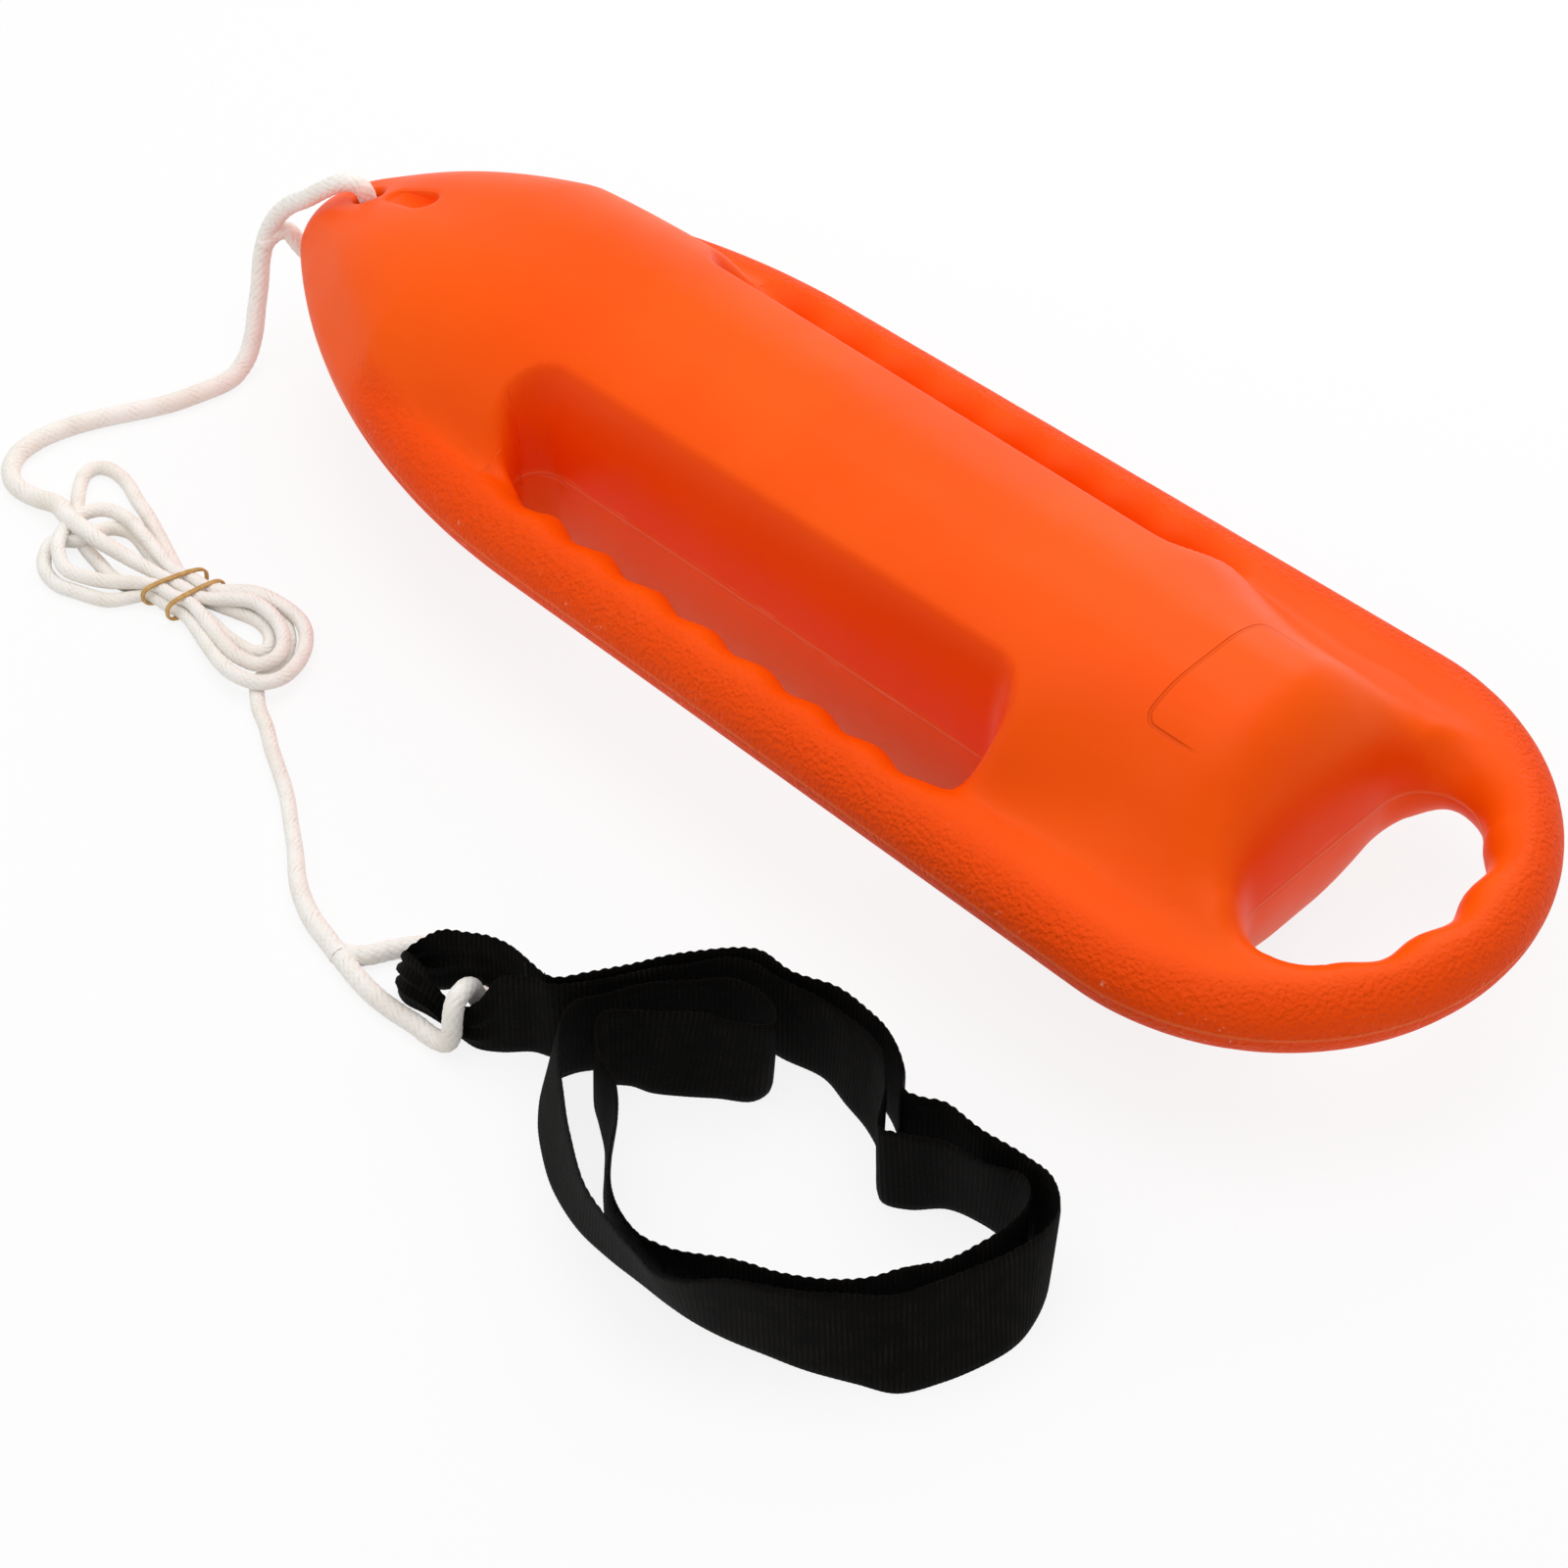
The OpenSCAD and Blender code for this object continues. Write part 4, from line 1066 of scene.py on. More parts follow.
class RopeBraid:
    """A Geometry Nodes tree that braids a rope along a curve."""

    def __init__(self) -> None:
        """Builds the tree and keeps its inputs' identifiers."""
        self.tree = bpy.data.node_groups.new("Braided rope", "GeometryNodeTree")
        self.inputs = declare_sockets(self.tree, (
            ("Radius", "NodeSocketFloat", 3.5 * MM), ("Relief", "NodeSocketFloat", 0.3 * MM),
            ("Plait length", "NodeSocketFloat", 3.4 * MM), ("Ring spacing", "NodeSocketFloat", 0.9 * MM),
            ("Strands", "NodeSocketFloat", 8.0), ("Sides", "NodeSocketInt", 32),
            ("Finish", "NodeSocketMaterial", None),
        ))
        self._fill()

    def _fill(self) -> None:
        """Adds the nodes: resample, sweep a circle, raise the strands, set the finish."""
        tree = self.tree
        given = add_node(tree, "NodeGroupInput").outputs
        line = add_node(tree, "GeometryNodeResampleCurve",
                        {"Curve": given["Geometry"], "Length": given["Ring spacing"]},
                        mode="LENGTH").outputs[0]
        run = add_node(tree, "GeometryNodeSplineParameter").outputs["Length"]
        line, along = self._capture(line, run)
        circle = add_node(tree, "GeometryNodeCurvePrimitiveCircle",
                          {"Resolution": given["Sides"], "Radius": given["Radius"]}, mode="RADIUS").outputs[0]
        turn = add_node(tree, "GeometryNodeSplineParameter").outputs["Factor"]
        circle, around = self._capture(circle, turn)
        radius = add_node(tree, "GeometryNodeInputRadius").outputs[0]
        swept = add_node(tree, "GeometryNodeCurveToMesh",
                         {"Curve": line, "Profile Curve": circle, "Fill Caps": True})
        if "Scale" in swept.inputs:
            tree.links.new(radius, swept.inputs["Scale"])
        height = self._strands(around, along, given["Strands"], given["Plait length"])
        normal = add_node(tree, "GeometryNodeInputNormal").outputs[0]
        lift = maths(tree, "MULTIPLY", maths(tree, "SUBTRACT", height, 0.6), given["Relief"])
        offset = add_node(tree, "ShaderNodeVectorMath", {0: normal, "Scale": lift},
                          operation="SCALE").outputs[0]
        kept = add_node(tree, "GeometryNodeStoreNamedAttribute",
                        {"Geometry": swept.outputs[0], "Name": "braid", "Value": height}, data_type="FLOAT",
                        domain="POINT").outputs[0]
        raised = add_node(tree, "GeometryNodeSetPosition", {"Geometry": kept, "Offset": offset}).outputs[0]
        real = add_node(tree, "GeometryNodeRealizeInstances", {"Geometry": raised}).outputs[0]
        dressed = add_node(tree, "GeometryNodeSetMaterial",
                           {"Geometry": real, "Material": given["Finish"]}).outputs[0]
        add_node(tree, "NodeGroupOutput", {"Geometry": dressed})

    def _capture(
        self, geometry: bpy.types.NodeSocket, value: bpy.types.NodeSocket
    ) -> tuple[bpy.types.NodeSocket, bpy.types.NodeSocket]:
        """Captures a number on a curve's points and returns both outputs."""
        node = self.tree.nodes.new("GeometryNodeCaptureAttribute")
        node.capture_items.new("FLOAT", "Value")
        self.tree.links.new(geometry, node.inputs["Geometry"])
        self.tree.links.new(value, node.inputs["Value"])
        return node.outputs["Geometry"], node.outputs["Value"]

    def _strands(
        self, around: bpy.types.NodeSocket, along: bpy.types.NodeSocket, strands: bpy.types.NodeSocket,
        plait: bpy.types.NodeSocket,
    ) -> bpy.types.NodeSocket:
        """Weaves the strands' heights from two sets of waves that wind opposite ways.

        Args:
            around: share of the way round the rope.
            along: distance along the rope in metres.
            strands: how many strands there are.
            plait: length of one plait in metres.

        Returns:
            The braid's height, 0 between strands and about 1 on their crests.
        """
        tree = self.tree
        turn = maths(tree, "MULTIPLY", around, strands)
        walk = maths(tree, "DIVIDE", along, plait)
        waves = []
        for operation in ("ADD", "SUBTRACT"):
            angle = maths(tree, "MULTIPLY", maths(tree, operation, turn, walk), math.pi)
            waves.append(maths(tree, "SINE", angle))
        over = maths(tree, "GREATER_THAN", maths(tree, "MULTIPLY", waves[0], waves[1]), 0.0)
        sizes = [maths(tree, "ABSOLUTE", w) for w in waves]
        crests = [maths(tree, "POWER", size, 0.9) for size in sizes]
        ends = [maths(tree, "POWER", size, 0.35) for size in sizes]
        first = maths(tree, "MULTIPLY", crests[0], ends[1])
        second = maths(tree, "MULTIPLY", crests[1], ends[0])
        chosen = maths(tree, "MULTIPLY", over, first)
        rest = maths(tree, "MULTIPLY", maths(tree, "SUBTRACT", 1.0, over), second)
        return maths(tree, "ADD", chosen, rest)

    def sweep(
        self, name: str, path: np.ndarray, radius: float, finish: bpy.types.Material, **sizes: float
    ) -> bpy.types.Object:
        """Braids one rope along a path.

        Args:
            name: the piece's name.
            path: rows of x, y, z and radius scale, in millimetres.
            radius: the rope's radius in millimetres.
            finish: the rope's material.
            **sizes: other inputs of the tree, by name with _ for a space.

        Returns:
            The rope as a plain mesh object.
        """
        line = poly_curve(name, [path])
        weave = line.modifiers.new("braid", "NODES")
        weave.node_group = self.tree
        weave[self.inputs["Radius"]] = radius * MM
        weave[self.inputs["Finish"]] = finish
        for key, value in sizes.items():
            weave[self.inputs[key.replace("_", " ")]] = value
        return new_object(name, made_mesh(line), finish)


@dataclass
class TowLine:
    """The tow rope: two spliced eyes, the runs between them and the tied hank.

    Routes are centrelines in millimetres. They are the part's own, but for the
    points next to the hank: there the rope climbs onto the hank's upper layer, and
    leaves from its last strand. The hank's route follows its rope through every lobe.
    The two tails are added here, and lead the eyes' splices into the rope.
    """

    rope_d: float = 7.0
    splice_d: float = 9.0
    waist_from: float = 247.0
    waist_to: float = 276.0
    waist_squeeze: float = 0.87
    upper_tail: float = 275.0
    lower_tail: float = 80.0
    tail_taper: float = 60.0
    tail_swell: float = 0.33
    splice_relief: float = 0.42 * MM
    splice_plait: float = 4.2 * MM
    band_centre: tuple[float, float] = (261.5, 187.5)
    band_lean: float = 3.0
    band_half_w: float = 15.2
    band_half_h: float = 6.1
    band_mid_z: float = 7.1
    band_squareness: float = 3.2
    band_places: tuple[float, float] = (4.6, -9.4)
    band_slants: tuple[float, float] = (0.36, 0.20)
    band_tape_w: float = 1.25
    band_tape_t: float = 0.62

    nose_route: Route = (
        (371, 18, 63), (366, 15, 55), (359, 12, 48), (350, 9, 42), (340, 6, 35), (331, 2, 32),
        (328, 0, 43), (328, 0, 57), (328, 0, 72), (328, 0, 88), (330, 2, 102), (337, 7, 105),
        (346, 12, 99), (356, 16, 90), (366, 19, 82), (373, 22, 73), (377, 26, 62), (377, 31, 50),
        (374, 36, 39), (371, 42, 28),
    )
    upper_route: Route = (
        (371, 42, 28), (367, 49, 17), (364, 58, 8), (362, 72, 4), (365, 87, 4), (370, 103, 4), (378, 119, 4),
        (386, 134, 4), (392, 149, 4), (395, 163, 4), (394, 177, 4), (387, 188, 4), (376, 193, 4),
        (362, 192, 5.5), (349, 190, 8),
    )
    hank_route: Route = (
        (335, 194, 11), (321, 196, 14), (311, 196, 13.5), (301, 194, 12), (291, 192, 10.5),
        (274, 189, 9.6), (261, 187, 9.6), (248, 185, 9.6), (232, 173, 10.5), (220, 171, 10.5),
        (207, 174, 10.5), (197, 181, 10.5), (193, 189, 10.5), (195, 197, 10.5), (202, 200, 10.5),
        (214, 200, 10.5), (247, 192, 9.6), (260, 194, 9.6), (273, 196, 9.6), (289, 208, 9), (300, 214, 9),
        (310, 217, 9.5), (320, 213, 10.3), (328, 206, 10), (334, 195, 8.5), (334, 185, 9), (329, 177, 9),
        (318, 174, 9), (304, 176, 9.5), (275, 182, 9.6), (262, 180, 9.6), (249, 178, 9.6), (234, 167, 10),
        (221, 163, 9), (206, 163, 8), (195, 169, 7.5), (186, 181, 8), (182, 195, 9.5), (186, 205, 10.5),
        (197, 209, 10), (213, 207, 8), (247, 196, 4.4), (260, 197, 4.4), (273, 199, 4.4), (284, 213, 3.5),
        (300, 220, 3.5), (310, 223, 3.5), (321, 221, 3.5), (329, 215, 3.5), (334, 207, 3.5),
        (332, 202, 3.8), (325, 199, 6), (321, 197, 8.5), (321, 190, 7.5), (322, 182, 4.5), (317, 177, 3.6),
        (307, 176, 3.6), (274, 185, 4.4), (261, 184, 4.4), (249, 182, 4.4), (236, 177, 3.5),
        (224, 174, 3.5), (213, 176, 3.5), (206, 183, 3.5), (208, 189, 3.5), (216, 191, 3.5),
        (229, 191, 3.5), (248, 189, 4.4), (261, 190, 4.4), (273, 192, 4.4), (285, 200, 3.5),
        (295, 202, 3.5), (307, 200, 3.5), (321, 197, 3.5), (332, 191, 3.5), (342, 184, 3.5),
        (352, 175, 3.5), (360, 165, 3.5), (360, 157, 3.5), (353, 153, 3.5), (341, 154, 3.5),
        (327, 159, 3.5), (314, 163, 3.5), (275, 178, 4.4), (262, 177, 4.4), (249, 175, 4.4),
        (234, 165, 3.5), (218, 165, 3.5), (204, 172, 3.5), (195, 184, 3.5), (194, 194, 3.5),
        (192, 202, 3.5),
    )
    lower_route: Route = (
        (180, 212, 4), (168, 218, 4), (155, 226, 4), (142, 233, 4), (128, 241, 4), (114, 251, 4),
        (100, 261, 4), (86, 272, 4), (74, 279, 4), (62, 284, 4), (50, 287, 4), (38, 290, 5),
    )
    strap_eye_route: Route = (
        (38, 290, 5), (25, 293, 5), (11, 295, 5), (-2, 295, 5), (-14, 294, 5), (-24, 294, 5),
        (-32, 293, 7), (-35, 292, 14), (-35, 291, 22), (-33, 287, 28), (-31, 280, 29), (-29, 274, 24),
        (-28, 271, 16), (-26, 267, 9), (-22, 259, 5), (-13, 253, 5), (-2, 251, 5), (9, 254, 5),
        (18, 262, 5), (25, 272, 5), (30, 281, 5),
    )
    nose_tail: Route = ((377, 29, 57), (375, 23.5, 62))
    eye_tail: Route = ((35, 286, 5), (43, 290.5, 4.7))

    def squeezed(self, path: np.ndarray) -> np.ndarray:
        """Adds a radius scale to each point, and rests the rope on the floor.

        The splices' tails are tucked inside the rope, so it is thicker after the nose
        eye and before the strap eye. The band squeezes it at the waist.

        Args:
            path: the rope's centreline.

        Returns:
            The path with a fourth column.
        """
        enters = np.clip((path[:, 0] - self.waist_from + 12) / 12, 0, 1)
        inside = enters * np.clip((self.waist_to + 12 - path[:, 0]) / 12, 0, 1)
        near = (path[:, 1] > 160) & (path[:, 1] < 215)
        run = np.concatenate([[0], np.cumsum(np.linalg.norm(np.diff(path, axis=0), axis=1))])
        tucked = np.clip((self.upper_tail - run) / self.tail_taper, 0, 1)
        tucked = np.maximum(tucked, np.clip((run - run[-1] + self.lower_tail) / self.tail_taper, 0, 1))
        scale = (1 + self.tail_swell * tucked) * (1 - (1 - self.waist_squeeze) * inside * near)
        resting = np.maximum(path[:, 2], self.rope_d / 2 * scale * 1.02)
        return np.column_stack([path[:, :2], np.where(tucked > 0, resting, path[:, 2]), scale])

    def splice(self, route: Route) -> np.ndarray:
        """Smooths a splice's route and gives it one thickness, which the rope's swollen ends meet."""
        path = smooth_path(np.array(route), 2.0)
        return np.column_stack([path, np.ones(len(path))])

    def declare(
        self, piece: bpy.types.Object, nodes: Sequence[str],
    ) -> None:
        """Hides the solids that a rope piece replaces, and fixes the piece to the tow line's body.

        Args:
            piece: the rope's object.
            nodes: the solids it stands for.
        """
        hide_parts(*nodes)
        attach(piece, Body.TOW_LINE.value)

    def band(self) -> bpy.types.Object:
        """Winds the rubber band twice round the hank's waist."""
        turns = np.linspace(0, 4 * np.pi, 220, endpoint=False)
        power = 2 / self.band_squareness
        c, s = np.cos(turns), np.sin(turns)
        across = self.band_half_w * np.sign(s) * np.abs(s) ** power
        up = self.band_mid_z - self.band_half_h * np.sign(c) * np.abs(c) ** power
        second = np.clip((turns - 1.9 * np.pi) / (0.2 * np.pi), 0, 1)
        back = np.clip((turns - 3.9 * np.pi) / (0.1 * np.pi), 0, 1)
        second = MouldedFloat.ease(second) * (1 - MouldedFloat.ease(back))
        slant = np.array(self.band_slants)
        place = np.array(self.band_places)
        along = (1 - second) * (place[0] + slant[0] * across) + second * (place[1] + slant[1] * across)
        lean = math.radians(self.band_lean)
        centre = self.band_centre
        x = centre[0] + along * math.cos(lean) - across * math.sin(lean)
        y = centre[1] + along * math.sin(lean) + across * math.cos(lean)
        path = np.stack([x, y, up], -1)
        tangent = np.roll(path, -1, 0) - np.roll(path, 1, 0)
        tangent /= np.linalg.norm(tangent, axis=1)[:, None]
        wide = np.tile([math.cos(lean), math.sin(lean), 0.0], (len(path), 1))
        wide -= tangent * np.sum(wide * tangent, 1)[:, None]
        wide /= np.linalg.norm(wide, axis=1)[:, None]
        out = np.cross(wide, tangent)
        corner = np.linspace(0, 2 * np.pi, 12, endpoint=False) + np.pi / 12
        ring_w = self.band_tape_w * np.sign(np.cos(corner)) * np.abs(np.cos(corner)) ** 0.6
        ring_t = self.band_tape_t * np.sign(np.sin(corner)) * np.abs(np.sin(corner)) ** 0.6
        points = path[:, None] + ring_w[None, :, None] * wide[:, None] + ring_t[None, :, None] * out[:, None]
        n, m = len(path), len(corner)
        faces = ring_faces(n, m)
        mesh = mesh_of("rubber_band_turns", points.reshape(-1, 3), faces)
        outward(mesh, 0.001 * MM)
        piece = new_object("rubber_band_turns", mesh, NaturalRubber("Tan natural rubber").build())
        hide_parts("rubber_band")
        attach(piece, Body.TOW_LINE.value)
        return piece

    def build(self) -> list[bpy.types.Object]:
        """Braids the three stretches of rope and ties the hank."""
        braid = RopeBraid()
        finish = BraidedRope("White hollow-braided rope").build()
        sizes = {"Relief": self.splice_relief, "Plait_length": self.splice_plait}
        nose = self.splice(self.nose_tail + self.nose_route)
        route = self.upper_route + self.hank_route + self.lower_route
        rope = self.squeezed(smooth_path(np.array(route), 2.0))
        eye = self.splice(self.strap_eye_route + self.eye_tail)
        band = self.band()
        pieces = [
            braid.sweep("nose_eye_splice", nose, self.splice_d / 2, finish, **sizes),
            braid.sweep("tow_rope", rope, self.rope_d / 2, finish),
            braid.sweep("strap_eye_splice", eye, self.splice_d / 2, finish, **sizes),
        ]
        self.declare(pieces[0], ["nose_eye"])
        runs = ["rope_upper_run", "rope_hank", "rope_lower_run"]
        self.declare(pieces[1], runs)
        self.declare(pieces[2], ["strap_eye"])
        return [*pieces, band]


# Strap


class StitchRow:
    """A Geometry Nodes tree that sews a row of stitches along a curve."""

    def __init__(self) -> None:
        """Builds the tree: points along the line, one short thread on each."""
        self.tree = bpy.data.node_groups.new("Stitch row", "GeometryNodeTree")
        self.inputs = declare_sockets(self.tree, (
            ("Stitch pitch", "NodeSocketFloat", 3.0 * MM), ("Stitch length", "NodeSocketFloat", 2.3 * MM),
            ("Thread radius", "NodeSocketFloat", 0.35 * MM), ("Finish", "NodeSocketMaterial", None),
        ))
        tree = self.tree
        given = add_node(tree, "NodeGroupInput").outputs
        spots = add_node(tree, "GeometryNodeCurveToPoints",
                         {"Curve": given["Geometry"], "Length": given["Stitch pitch"]}, mode="LENGTH").outputs
        thread = add_node(tree, "GeometryNodeMeshUVSphere",
                          {"Segments": 10, "Rings": 6, "Radius": 1.0}).outputs[0]
        half = maths(tree, "MULTIPLY", given["Stitch length"], 0.5)
        thick = given["Thread radius"]
        size = add_node(tree, "ShaderNodeCombineXYZ", {0: thick, 1: thick, 2: half}).outputs[0]
        sewn = add_node(tree, "GeometryNodeInstanceOnPoints", {"Points": spots["Points"], "Instance": thread,
                        "Rotation": spots["Rotation"], "Scale": size}).outputs[0]
        real = add_node(tree, "GeometryNodeRealizeInstances", {"Geometry": sewn}).outputs[0]
        dressed = add_node(tree, "GeometryNodeSetMaterial",
                           {"Geometry": real, "Material": given["Finish"]}).outputs[0]
        add_node(tree, "NodeGroupOutput", {"Geometry": dressed})

    def sew(self, name: str, lines: Sequence[np.ndarray], finish: bpy.types.Material) -> bpy.types.Object:
        """Sews stitches along lines.

        Args:
            name: the piece's name.
            lines: rows of x, y and z for each line, in millimetres.
            finish: the thread's material.

        Returns:
            All the stitches as one plain mesh object.
        """
        line = poly_curve(name, lines)
        sewing = line.modifiers.new("stitches", "NODES")
        sewing.node_group = self.tree
        sewing[self.inputs["Finish"]] = finish
        return new_object(name, made_mesh(line), finish)


@dataclass
class ShoulderStrap:
    """The closed strap of flat webbing, standing on its edge.

    Each route row holds the plan place of the bottom edge and of the top edge,
    then how far the bottom edge is lifted and how much the webbing is crumpled.
    """

    width: float = 50.0
    thickness: float = 1.8
    pinch_h: float = 20.0
    rib_pitch: float = 2.3
    rib_depth: float = 0.28
    across_steps: int = 12
    seams: tuple[tuple[float, float], ...] = ((-50, 260), (-60, 259))

    route: tuple[Row, ...] = (
        (-10, 284, -12, 284, 0, 0.67), (2, 286, -2, 285, 0, 0.53), (10, 282, 4, 282, 0, 0.73),
        (5, 276, 0, 277, 0, 0.53), (-8, 271, -8, 271, 4, 0.27), (-18, 266, -18, 266, 12, 0.17),
        (-28, 262, -28, 262, 13, 0.1), (-40, 260, -40, 260, 8, 0.1), (-54, 260, -54, 261, 0, 0.07),
        (-65, 258, -66, 261), (-74, 249, -75, 250), (-84, 233, -85, 234), (-95, 217, -95, 217),
        (-106, 200, -106, 200), (-119, 192, -119, 191), (-137, 190, -136, 190), (-156, 184, -156, 183),
        (-174, 184, -174, 183), (-191, 188, -190, 187), (-205, 196, -205, 195), (-213, 205, -213, 204),
        (-222, 203, -222, 203), (-233, 199, -233, 198), (-253, 200, -253, 199), (-273, 199, -272, 196),
        (-291, 205, -287, 197), (-302, 214, -300, 206), (-308, 228, -304, 220), (-310, 242, -302, 236),
        (-307, 258, -297, 251), (-301, 275, -292, 267), (-292, 291, -284, 283), (-277, 299, -271, 296),
        (-258, 308, -257, 308), (-240, 314, -242, 318), (-224, 319, -229, 325), (-209, 322, -218, 337),
        (-195, 323, -207, 342), (-179, 323, -195, 340), (-160, 323, -176, 336), (-140, 321, -154, 329),
        (-119, 314, -132, 315), (-102, 304, -115, 302), (-87, 292, -99, 289), (-77, 278, -87, 276),
        (-79, 264, -83, 264), (-88, 251, -89, 252), (-99, 235, -99, 236), (-109, 221, -110, 222),
        (-120, 211, -120, 211), (-131, 206, -132, 207), (-141, 208, -144, 209), (-146, 214, -151, 215),
        (-144, 223, -148, 221), (-133, 231, -137, 227), (-122, 240, -126, 232), (-111, 248, -115, 243),
        (-101, 252, -103, 252), (-94, 260, -96, 261), (-99, 270, -101, 270), (-109, 277, -112, 278),
        (-120, 285, -127, 284), (-130, 295, -139, 295), (-140, 305, -149, 308), (-151, 313, -161, 321),
        (-167, 316, -174, 329), (-182, 317, -190, 333), (-196, 317, -203, 329), (-210, 315, -215, 322),
        (-225, 312, -228, 315), (-242, 306, -243, 308), (-257, 300, -257, 299), (-270, 290, -269, 286),
        (-282, 279, -277, 273), (-291, 266, -285, 260), (-296, 250, -289, 246), (-297, 235, -292, 231),
        (-293, 219, -291, 217), (-284, 208, -286, 208), (-271, 204, -277, 205), (-258, 204, -264, 210),
        (-243, 208, -246, 214), (-232, 219, -231, 222), (-221, 224, -220, 226), (-212, 217, -213, 217),
        (-204, 207, -205, 206), (-190, 200, -193, 196), (-174, 196, -176, 192), (-157, 192, -158, 192),
        (-138, 196, -138, 196), (-122, 198, -122, 198), (-110, 205, -110, 205), (-99, 221, -99, 221),
        (-88, 237, -89, 238), (-78, 252, -79, 253), (-69, 262, -70, 264), (-58, 267, -60, 268),
        (-49, 276, -50, 276, 0, 0.07), (-40, 282, -41, 281, 0, 0.67), (-31, 283, -31, 283, 0, 1),
        (-22, 283, -22, 283, 0, 1),
    )

    def centreline(self) -> np.ndarray:
        """Samples the route evenly.

        Returns:
            Columns: middle x, y and 0, half lean x and y, lift, crumple.
        """
        rows = np.array([list(r) + [0.0] * (6 - len(r)) for r in self.route])
        foot, brow = rows[:, :2], rows[:, 2:4]
        middle = (foot + brow) / 2
        table = np.column_stack([middle, np.zeros(len(rows)), (brow - foot) / 2, rows[:, 4:]])
        samples = smooth_path(table, self.rib_pitch / 4, closed=True)[:-1]
        samples[:, 5] = np.maximum(samples[:, 5], 0)
        samples[:, 6] = np.clip(samples[:, 6], 0, 1)
        return samples

    def build(self) -> list[bpy.types.Object]:
        """Lays the webbing along its route, with ribs, soft edges and stitching."""
        line = self.centreline()
        n = len(line)
        length = float(np.linalg.norm(np.roll(line[:, :2], -1, 0) - line[:, :2], axis=1).sum())
        run = np.arange(n) * length / n
        ribs = round(length / self.rib_pitch)
        wave = 0.5 - 0.5 * np.cos(2 * np.pi * ribs * np.arange(n) / n)
        ahead = np.roll(line[:, :2], -2, 0) - np.roll(line[:, :2], 2, 0)
        ahead /= np.linalg.norm(ahead, axis=1)[:, None]
        normal = np.stack([-ahead[:, 1], ahead[:, 0]], -1)
        low = line[:, 5]
        high = self.width + (self.pinch_h - self.width) * line[:, 6]
        sag = 0.6 * np.sin(2 * np.pi * run / 61) + 0.5 * np.sin(2 * np.pi * run / 37 + 1.1)
        edge_wave = 0.45 * np.cos(2 * np.pi * np.round(length / 4.6) * np.arange(n) / n)
        m = self.across_steps
        t = np.linspace(-1, 1, m + 1)
        loops, rib_values, across_values = [], [], []
        for face, ts in ((1, t), (-1, t[::-1])):
            for step in ts:
                taper = (1 - abs(step) ** 12 * 0.75)
                edge = abs(step) > 0.999
                z = low + (high - low) * (step + 1) / 2
                if edge:
                    z = z + np.where(step > 0, np.clip(sag + edge_wave, -1.2, 0.9), 0)
                crumple = line[:, 6] * 2.2 * math.sin(step * 9.0) * (1 - step * step)
                lean = line[:, 3:5] * step
                rib = self.rib_depth * (1 - wave) * (0.35 if edge else 1.0)
                depth = self.thickness / 2 * taper - rib
                out = face * depth + (1 - step * step) * 0.25 * sag + crumple
                xy = line[:, :2] + lean + normal * out[:, None]
                loops.append(np.column_stack([xy, np.maximum(z, 0.0)]))
                rib_values.append(wave)
                across_values.append(np.full(n, (step + 1) / 2 * self.width * MM))
        points = np.stack(loops, 1)
        wide = points.shape[1]
        faces = ring_faces(n, wide)
        numbers = {"rib": np.stack(rib_values, 1).ravel(), "across": np.stack(across_values, 1).ravel()}
        mesh = mesh_of("webbing", points.reshape(-1, 3), faces, numbers)
        outward(mesh)
        strap = new_object("strap_webbing_ribbed", mesh, RibbedWebbing("Black ribbed webbing").build())
        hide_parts("strap_webbing")
        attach(strap, Body.STRAP.value)
        log.info("strap: %.3f m of webbing, %d ribs", length * MM, ribs)
        return [strap, self.stitches(line, normal)]

    def stitches(self, line: np.ndarray, normal: np.ndarray) -> bpy.types.Object:
        """Sews two rows down the webbing where its layers meet at the throat.

        Args:
            line: the webbing's samples, as from centreline.
            normal: the plan direction across the webbing at each sample.

        Returns:
            The stitches' object.
        """
        rows = []
        for target in self.seams:
            i = int(np.argmin(np.hypot(line[:, 0] - target[0], line[:, 1] - target[1])))
            for face in (-1, 1):
                out = line[i, :2] + normal[i] * face * (self.thickness / 2 + 0.05)
                z = np.linspace(6, self.width - 5, 12)
                rows.append(np.column_stack([np.tile(out, (12, 1)), z]))
        piece = StitchRow().sew("throat_stitches", rows, SewingThread("Black sewing thread").build())
        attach(piece, Body.STRAP.value)
        return piece


# Studio


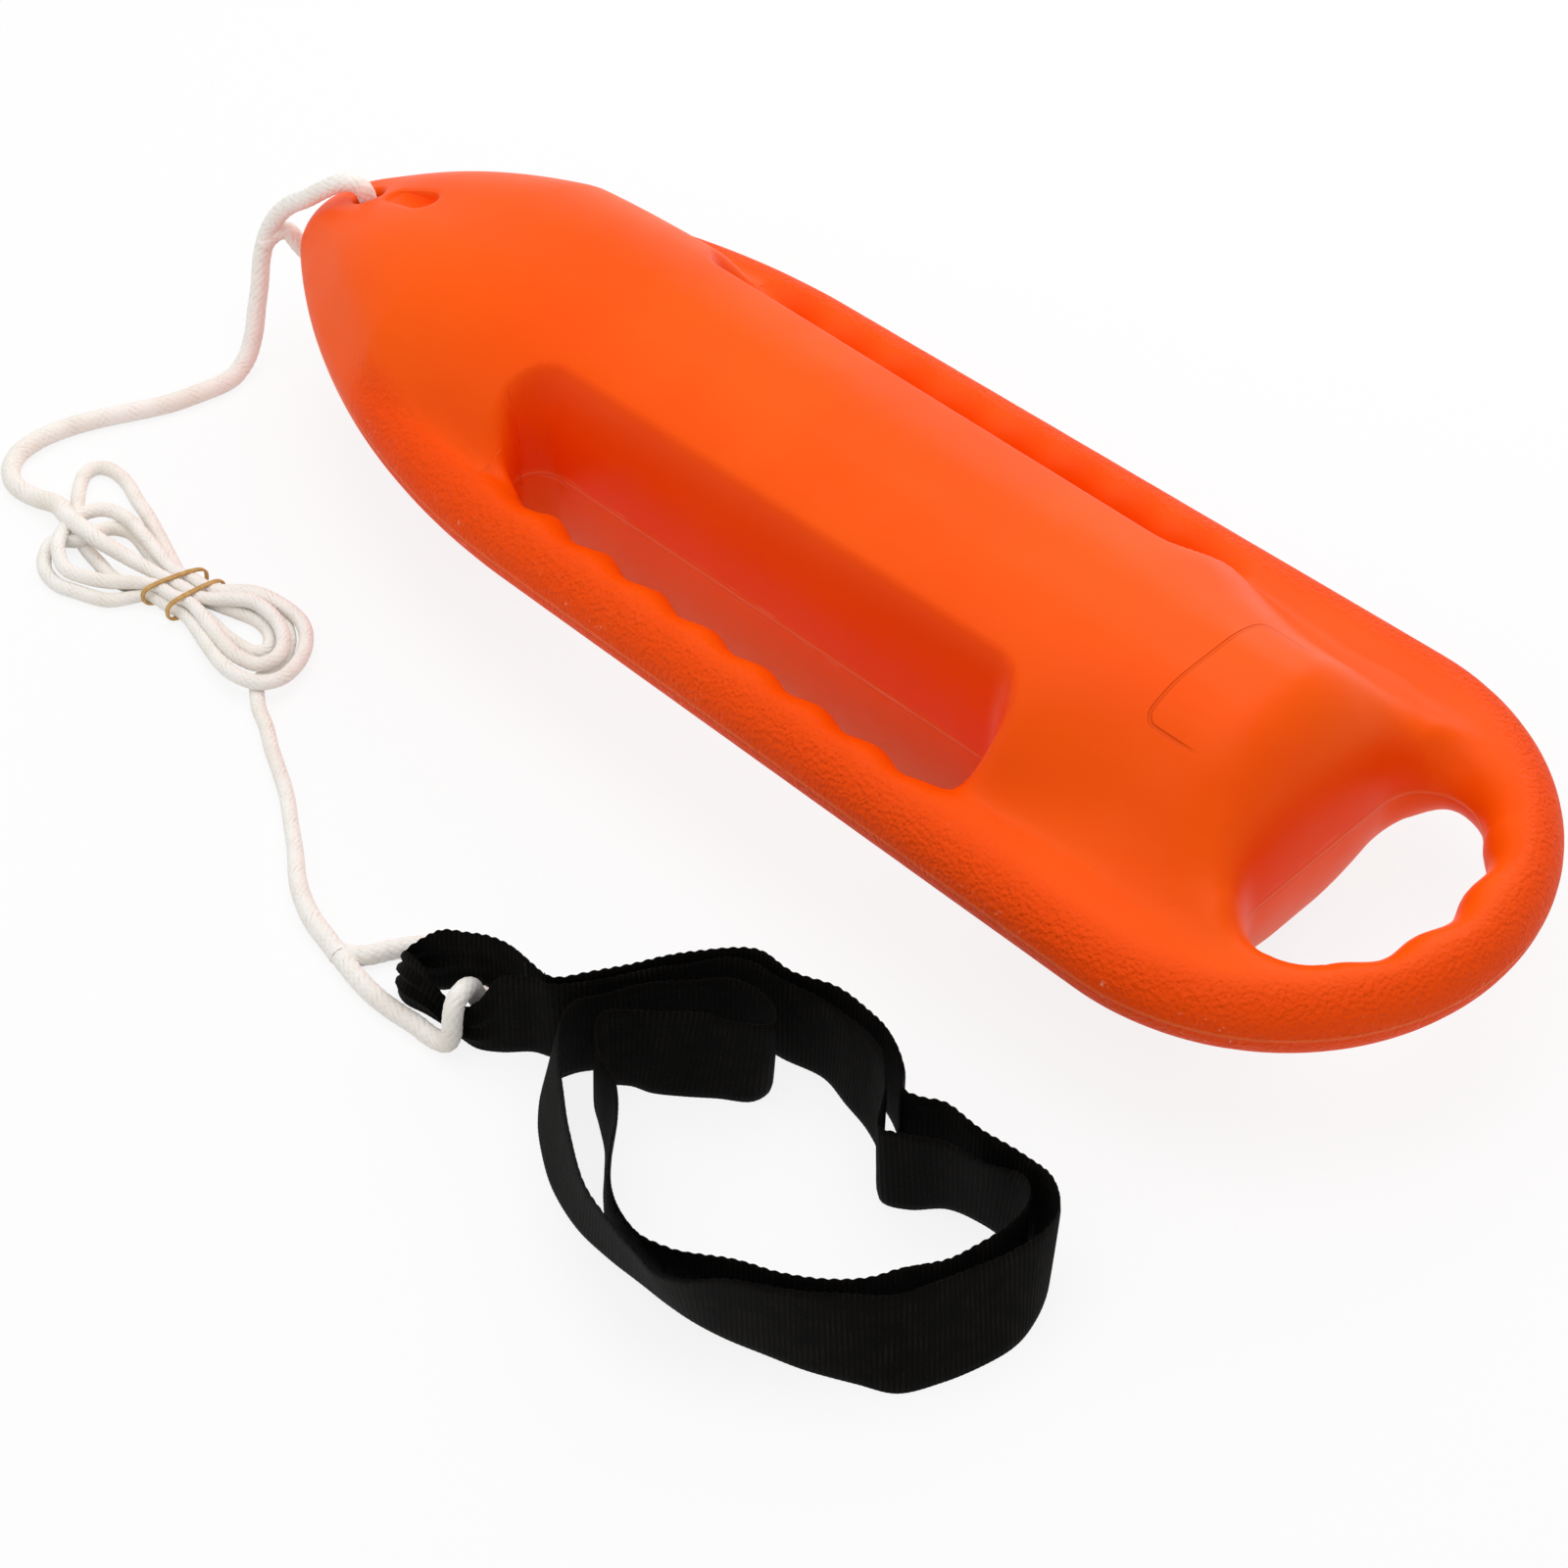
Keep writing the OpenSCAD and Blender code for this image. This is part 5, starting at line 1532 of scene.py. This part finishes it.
@dataclass
class Studio:
    """The camera at the photograph's angle, the floor and the soft lights."""

    azimuth: float = 223.90
    elevation: float = 45.67
    distance: float = 1.922
    target: Point = (-0.07188, 0.12745, 0.070)
    focal_px: float = 4574.96
    frame_px: int = 1600
    room_light: float = 0.50
    floor_half: float = 3000.0
    floor_z: float = -0.2

    def axes(self) -> tuple[Vector, Vector, Vector]:
        """Returns the camera's right, up and forward directions."""
        a, e = math.radians(self.azimuth), math.radians(self.elevation)
        right = Vector((math.cos(a), math.sin(a), 0))
        forward = Vector((-math.sin(a) * math.cos(e), math.cos(a) * math.cos(e), -math.sin(e)))
        return right, right.cross(forward), forward

    def camera(self) -> None:
        """Sets the camera up."""
        right, up, forward = self.axes()
        data = bpy.data.cameras.new("photo_camera")
        data.sensor_fit = "HORIZONTAL"
        data.sensor_width = SENSOR_MM
        data.lens = self.focal_px * SENSOR_MM / self.frame_px
        data.clip_end = 20
        eye = Vector(self.target) - forward * self.distance
        turn = Matrix((right, up, -forward)).transposed().to_4x4()
        camera = bpy.data.objects.new("photo_camera", data)
        camera.matrix_world = Matrix.Translation(eye) @ turn
        bpy.context.scene.collection.objects.link(camera)
        bpy.context.scene.camera = camera

    def lamp(self, name: str, place: Point, aim: Point, size: float, power: float, tint: str) -> None:
        """Adds one square soft lamp.

        Args:
            name: the lamp's name.
            place: where it stands, in metres.
            aim: the point it faces, in metres.
            size: its side in metres.
            power: its power in watts.
            tint: its colour as six hex digits.
        """
        data = bpy.data.lights.new(name, "AREA")
        data.shape = "SQUARE"
        data.size = size
        data.energy = power
        data.color = srgb(tint)[:3]
        lamp = bpy.data.objects.new(name, data)
        way = Vector(aim) - Vector(place)
        turn = way.to_track_quat("-Z", "Y").to_matrix().to_4x4()
        lamp.matrix_world = Matrix.Translation(Vector(place)) @ turn
        bpy.context.scene.collection.objects.link(lamp)

    def lights(self) -> None:
        """Sets the lamps and the plain surroundings."""
        self.lamp("overhead", (0.1, -0.1, 1.9), (0, 0.05, 0), 2.0, 20.0, "FFFFFF")
        self.lamp("left_front", (0.9, 1.3, 1.3), (0, 0.05, 0.03), 0.9, 3.0, "FFFFFF")
        self.lamp("far_side", (0.5, -1.5, 1.0), (0, 0, 0.05), 1.1, 8.0, "FFFFFF")
        world = bpy.data.worlds.new("studio")
        world.use_nodes = True
        tree = world.node_tree
        tree.nodes.clear()
        seen = backdrop_rays(tree)
        room = add_node(tree, "ShaderNodeBackground", {"Color": WHITE, "Strength": self.room_light})
        white = add_node(tree, "ShaderNodeBackground", {"Color": WHITE, "Strength": 1.0})
        mixed = add_node(tree, "ShaderNodeMixShader", {0: seen, 1: room.outputs[0], 2: white.outputs[0]})
        add_node(tree, "ShaderNodeOutputWorld", {"Surface": mixed.outputs[0]})
        bpy.context.scene.world = world

    def floor(self) -> None:
        """Lays the pale floor under the object."""
        half = self.floor_half
        corners = [(-half, -half), (half, -half), (half, half), (-half, half)]
        mesh = mesh_of("floor", np.array([(x, y, self.floor_z) for x, y in corners]), [[0, 1, 2, 3]])
        new_object("floor", mesh, PaleFloor("Pale studio floor").build())

    def build(self) -> None:
        """Sets up the camera, the lights and the floor."""
        self.camera()
        self.lights()
        self.floor()
        bpy.context.scene.view_settings.view_transform = "Standard"


def main() -> None:
    """Builds the studio and the object, piece by piece."""
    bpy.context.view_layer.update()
    Studio().build()
    builders: list[Callable[[], object]] = [TowLine().build, MouldedFloat().build, ShoulderStrap().build]
    for build in builders:
        made = build()
        for piece in made if isinstance(made, list) else [made]:
            log.info("built %s: %d faces", piece.name, len(piece.data.polygons))


if __name__ == "__main__":
    main()
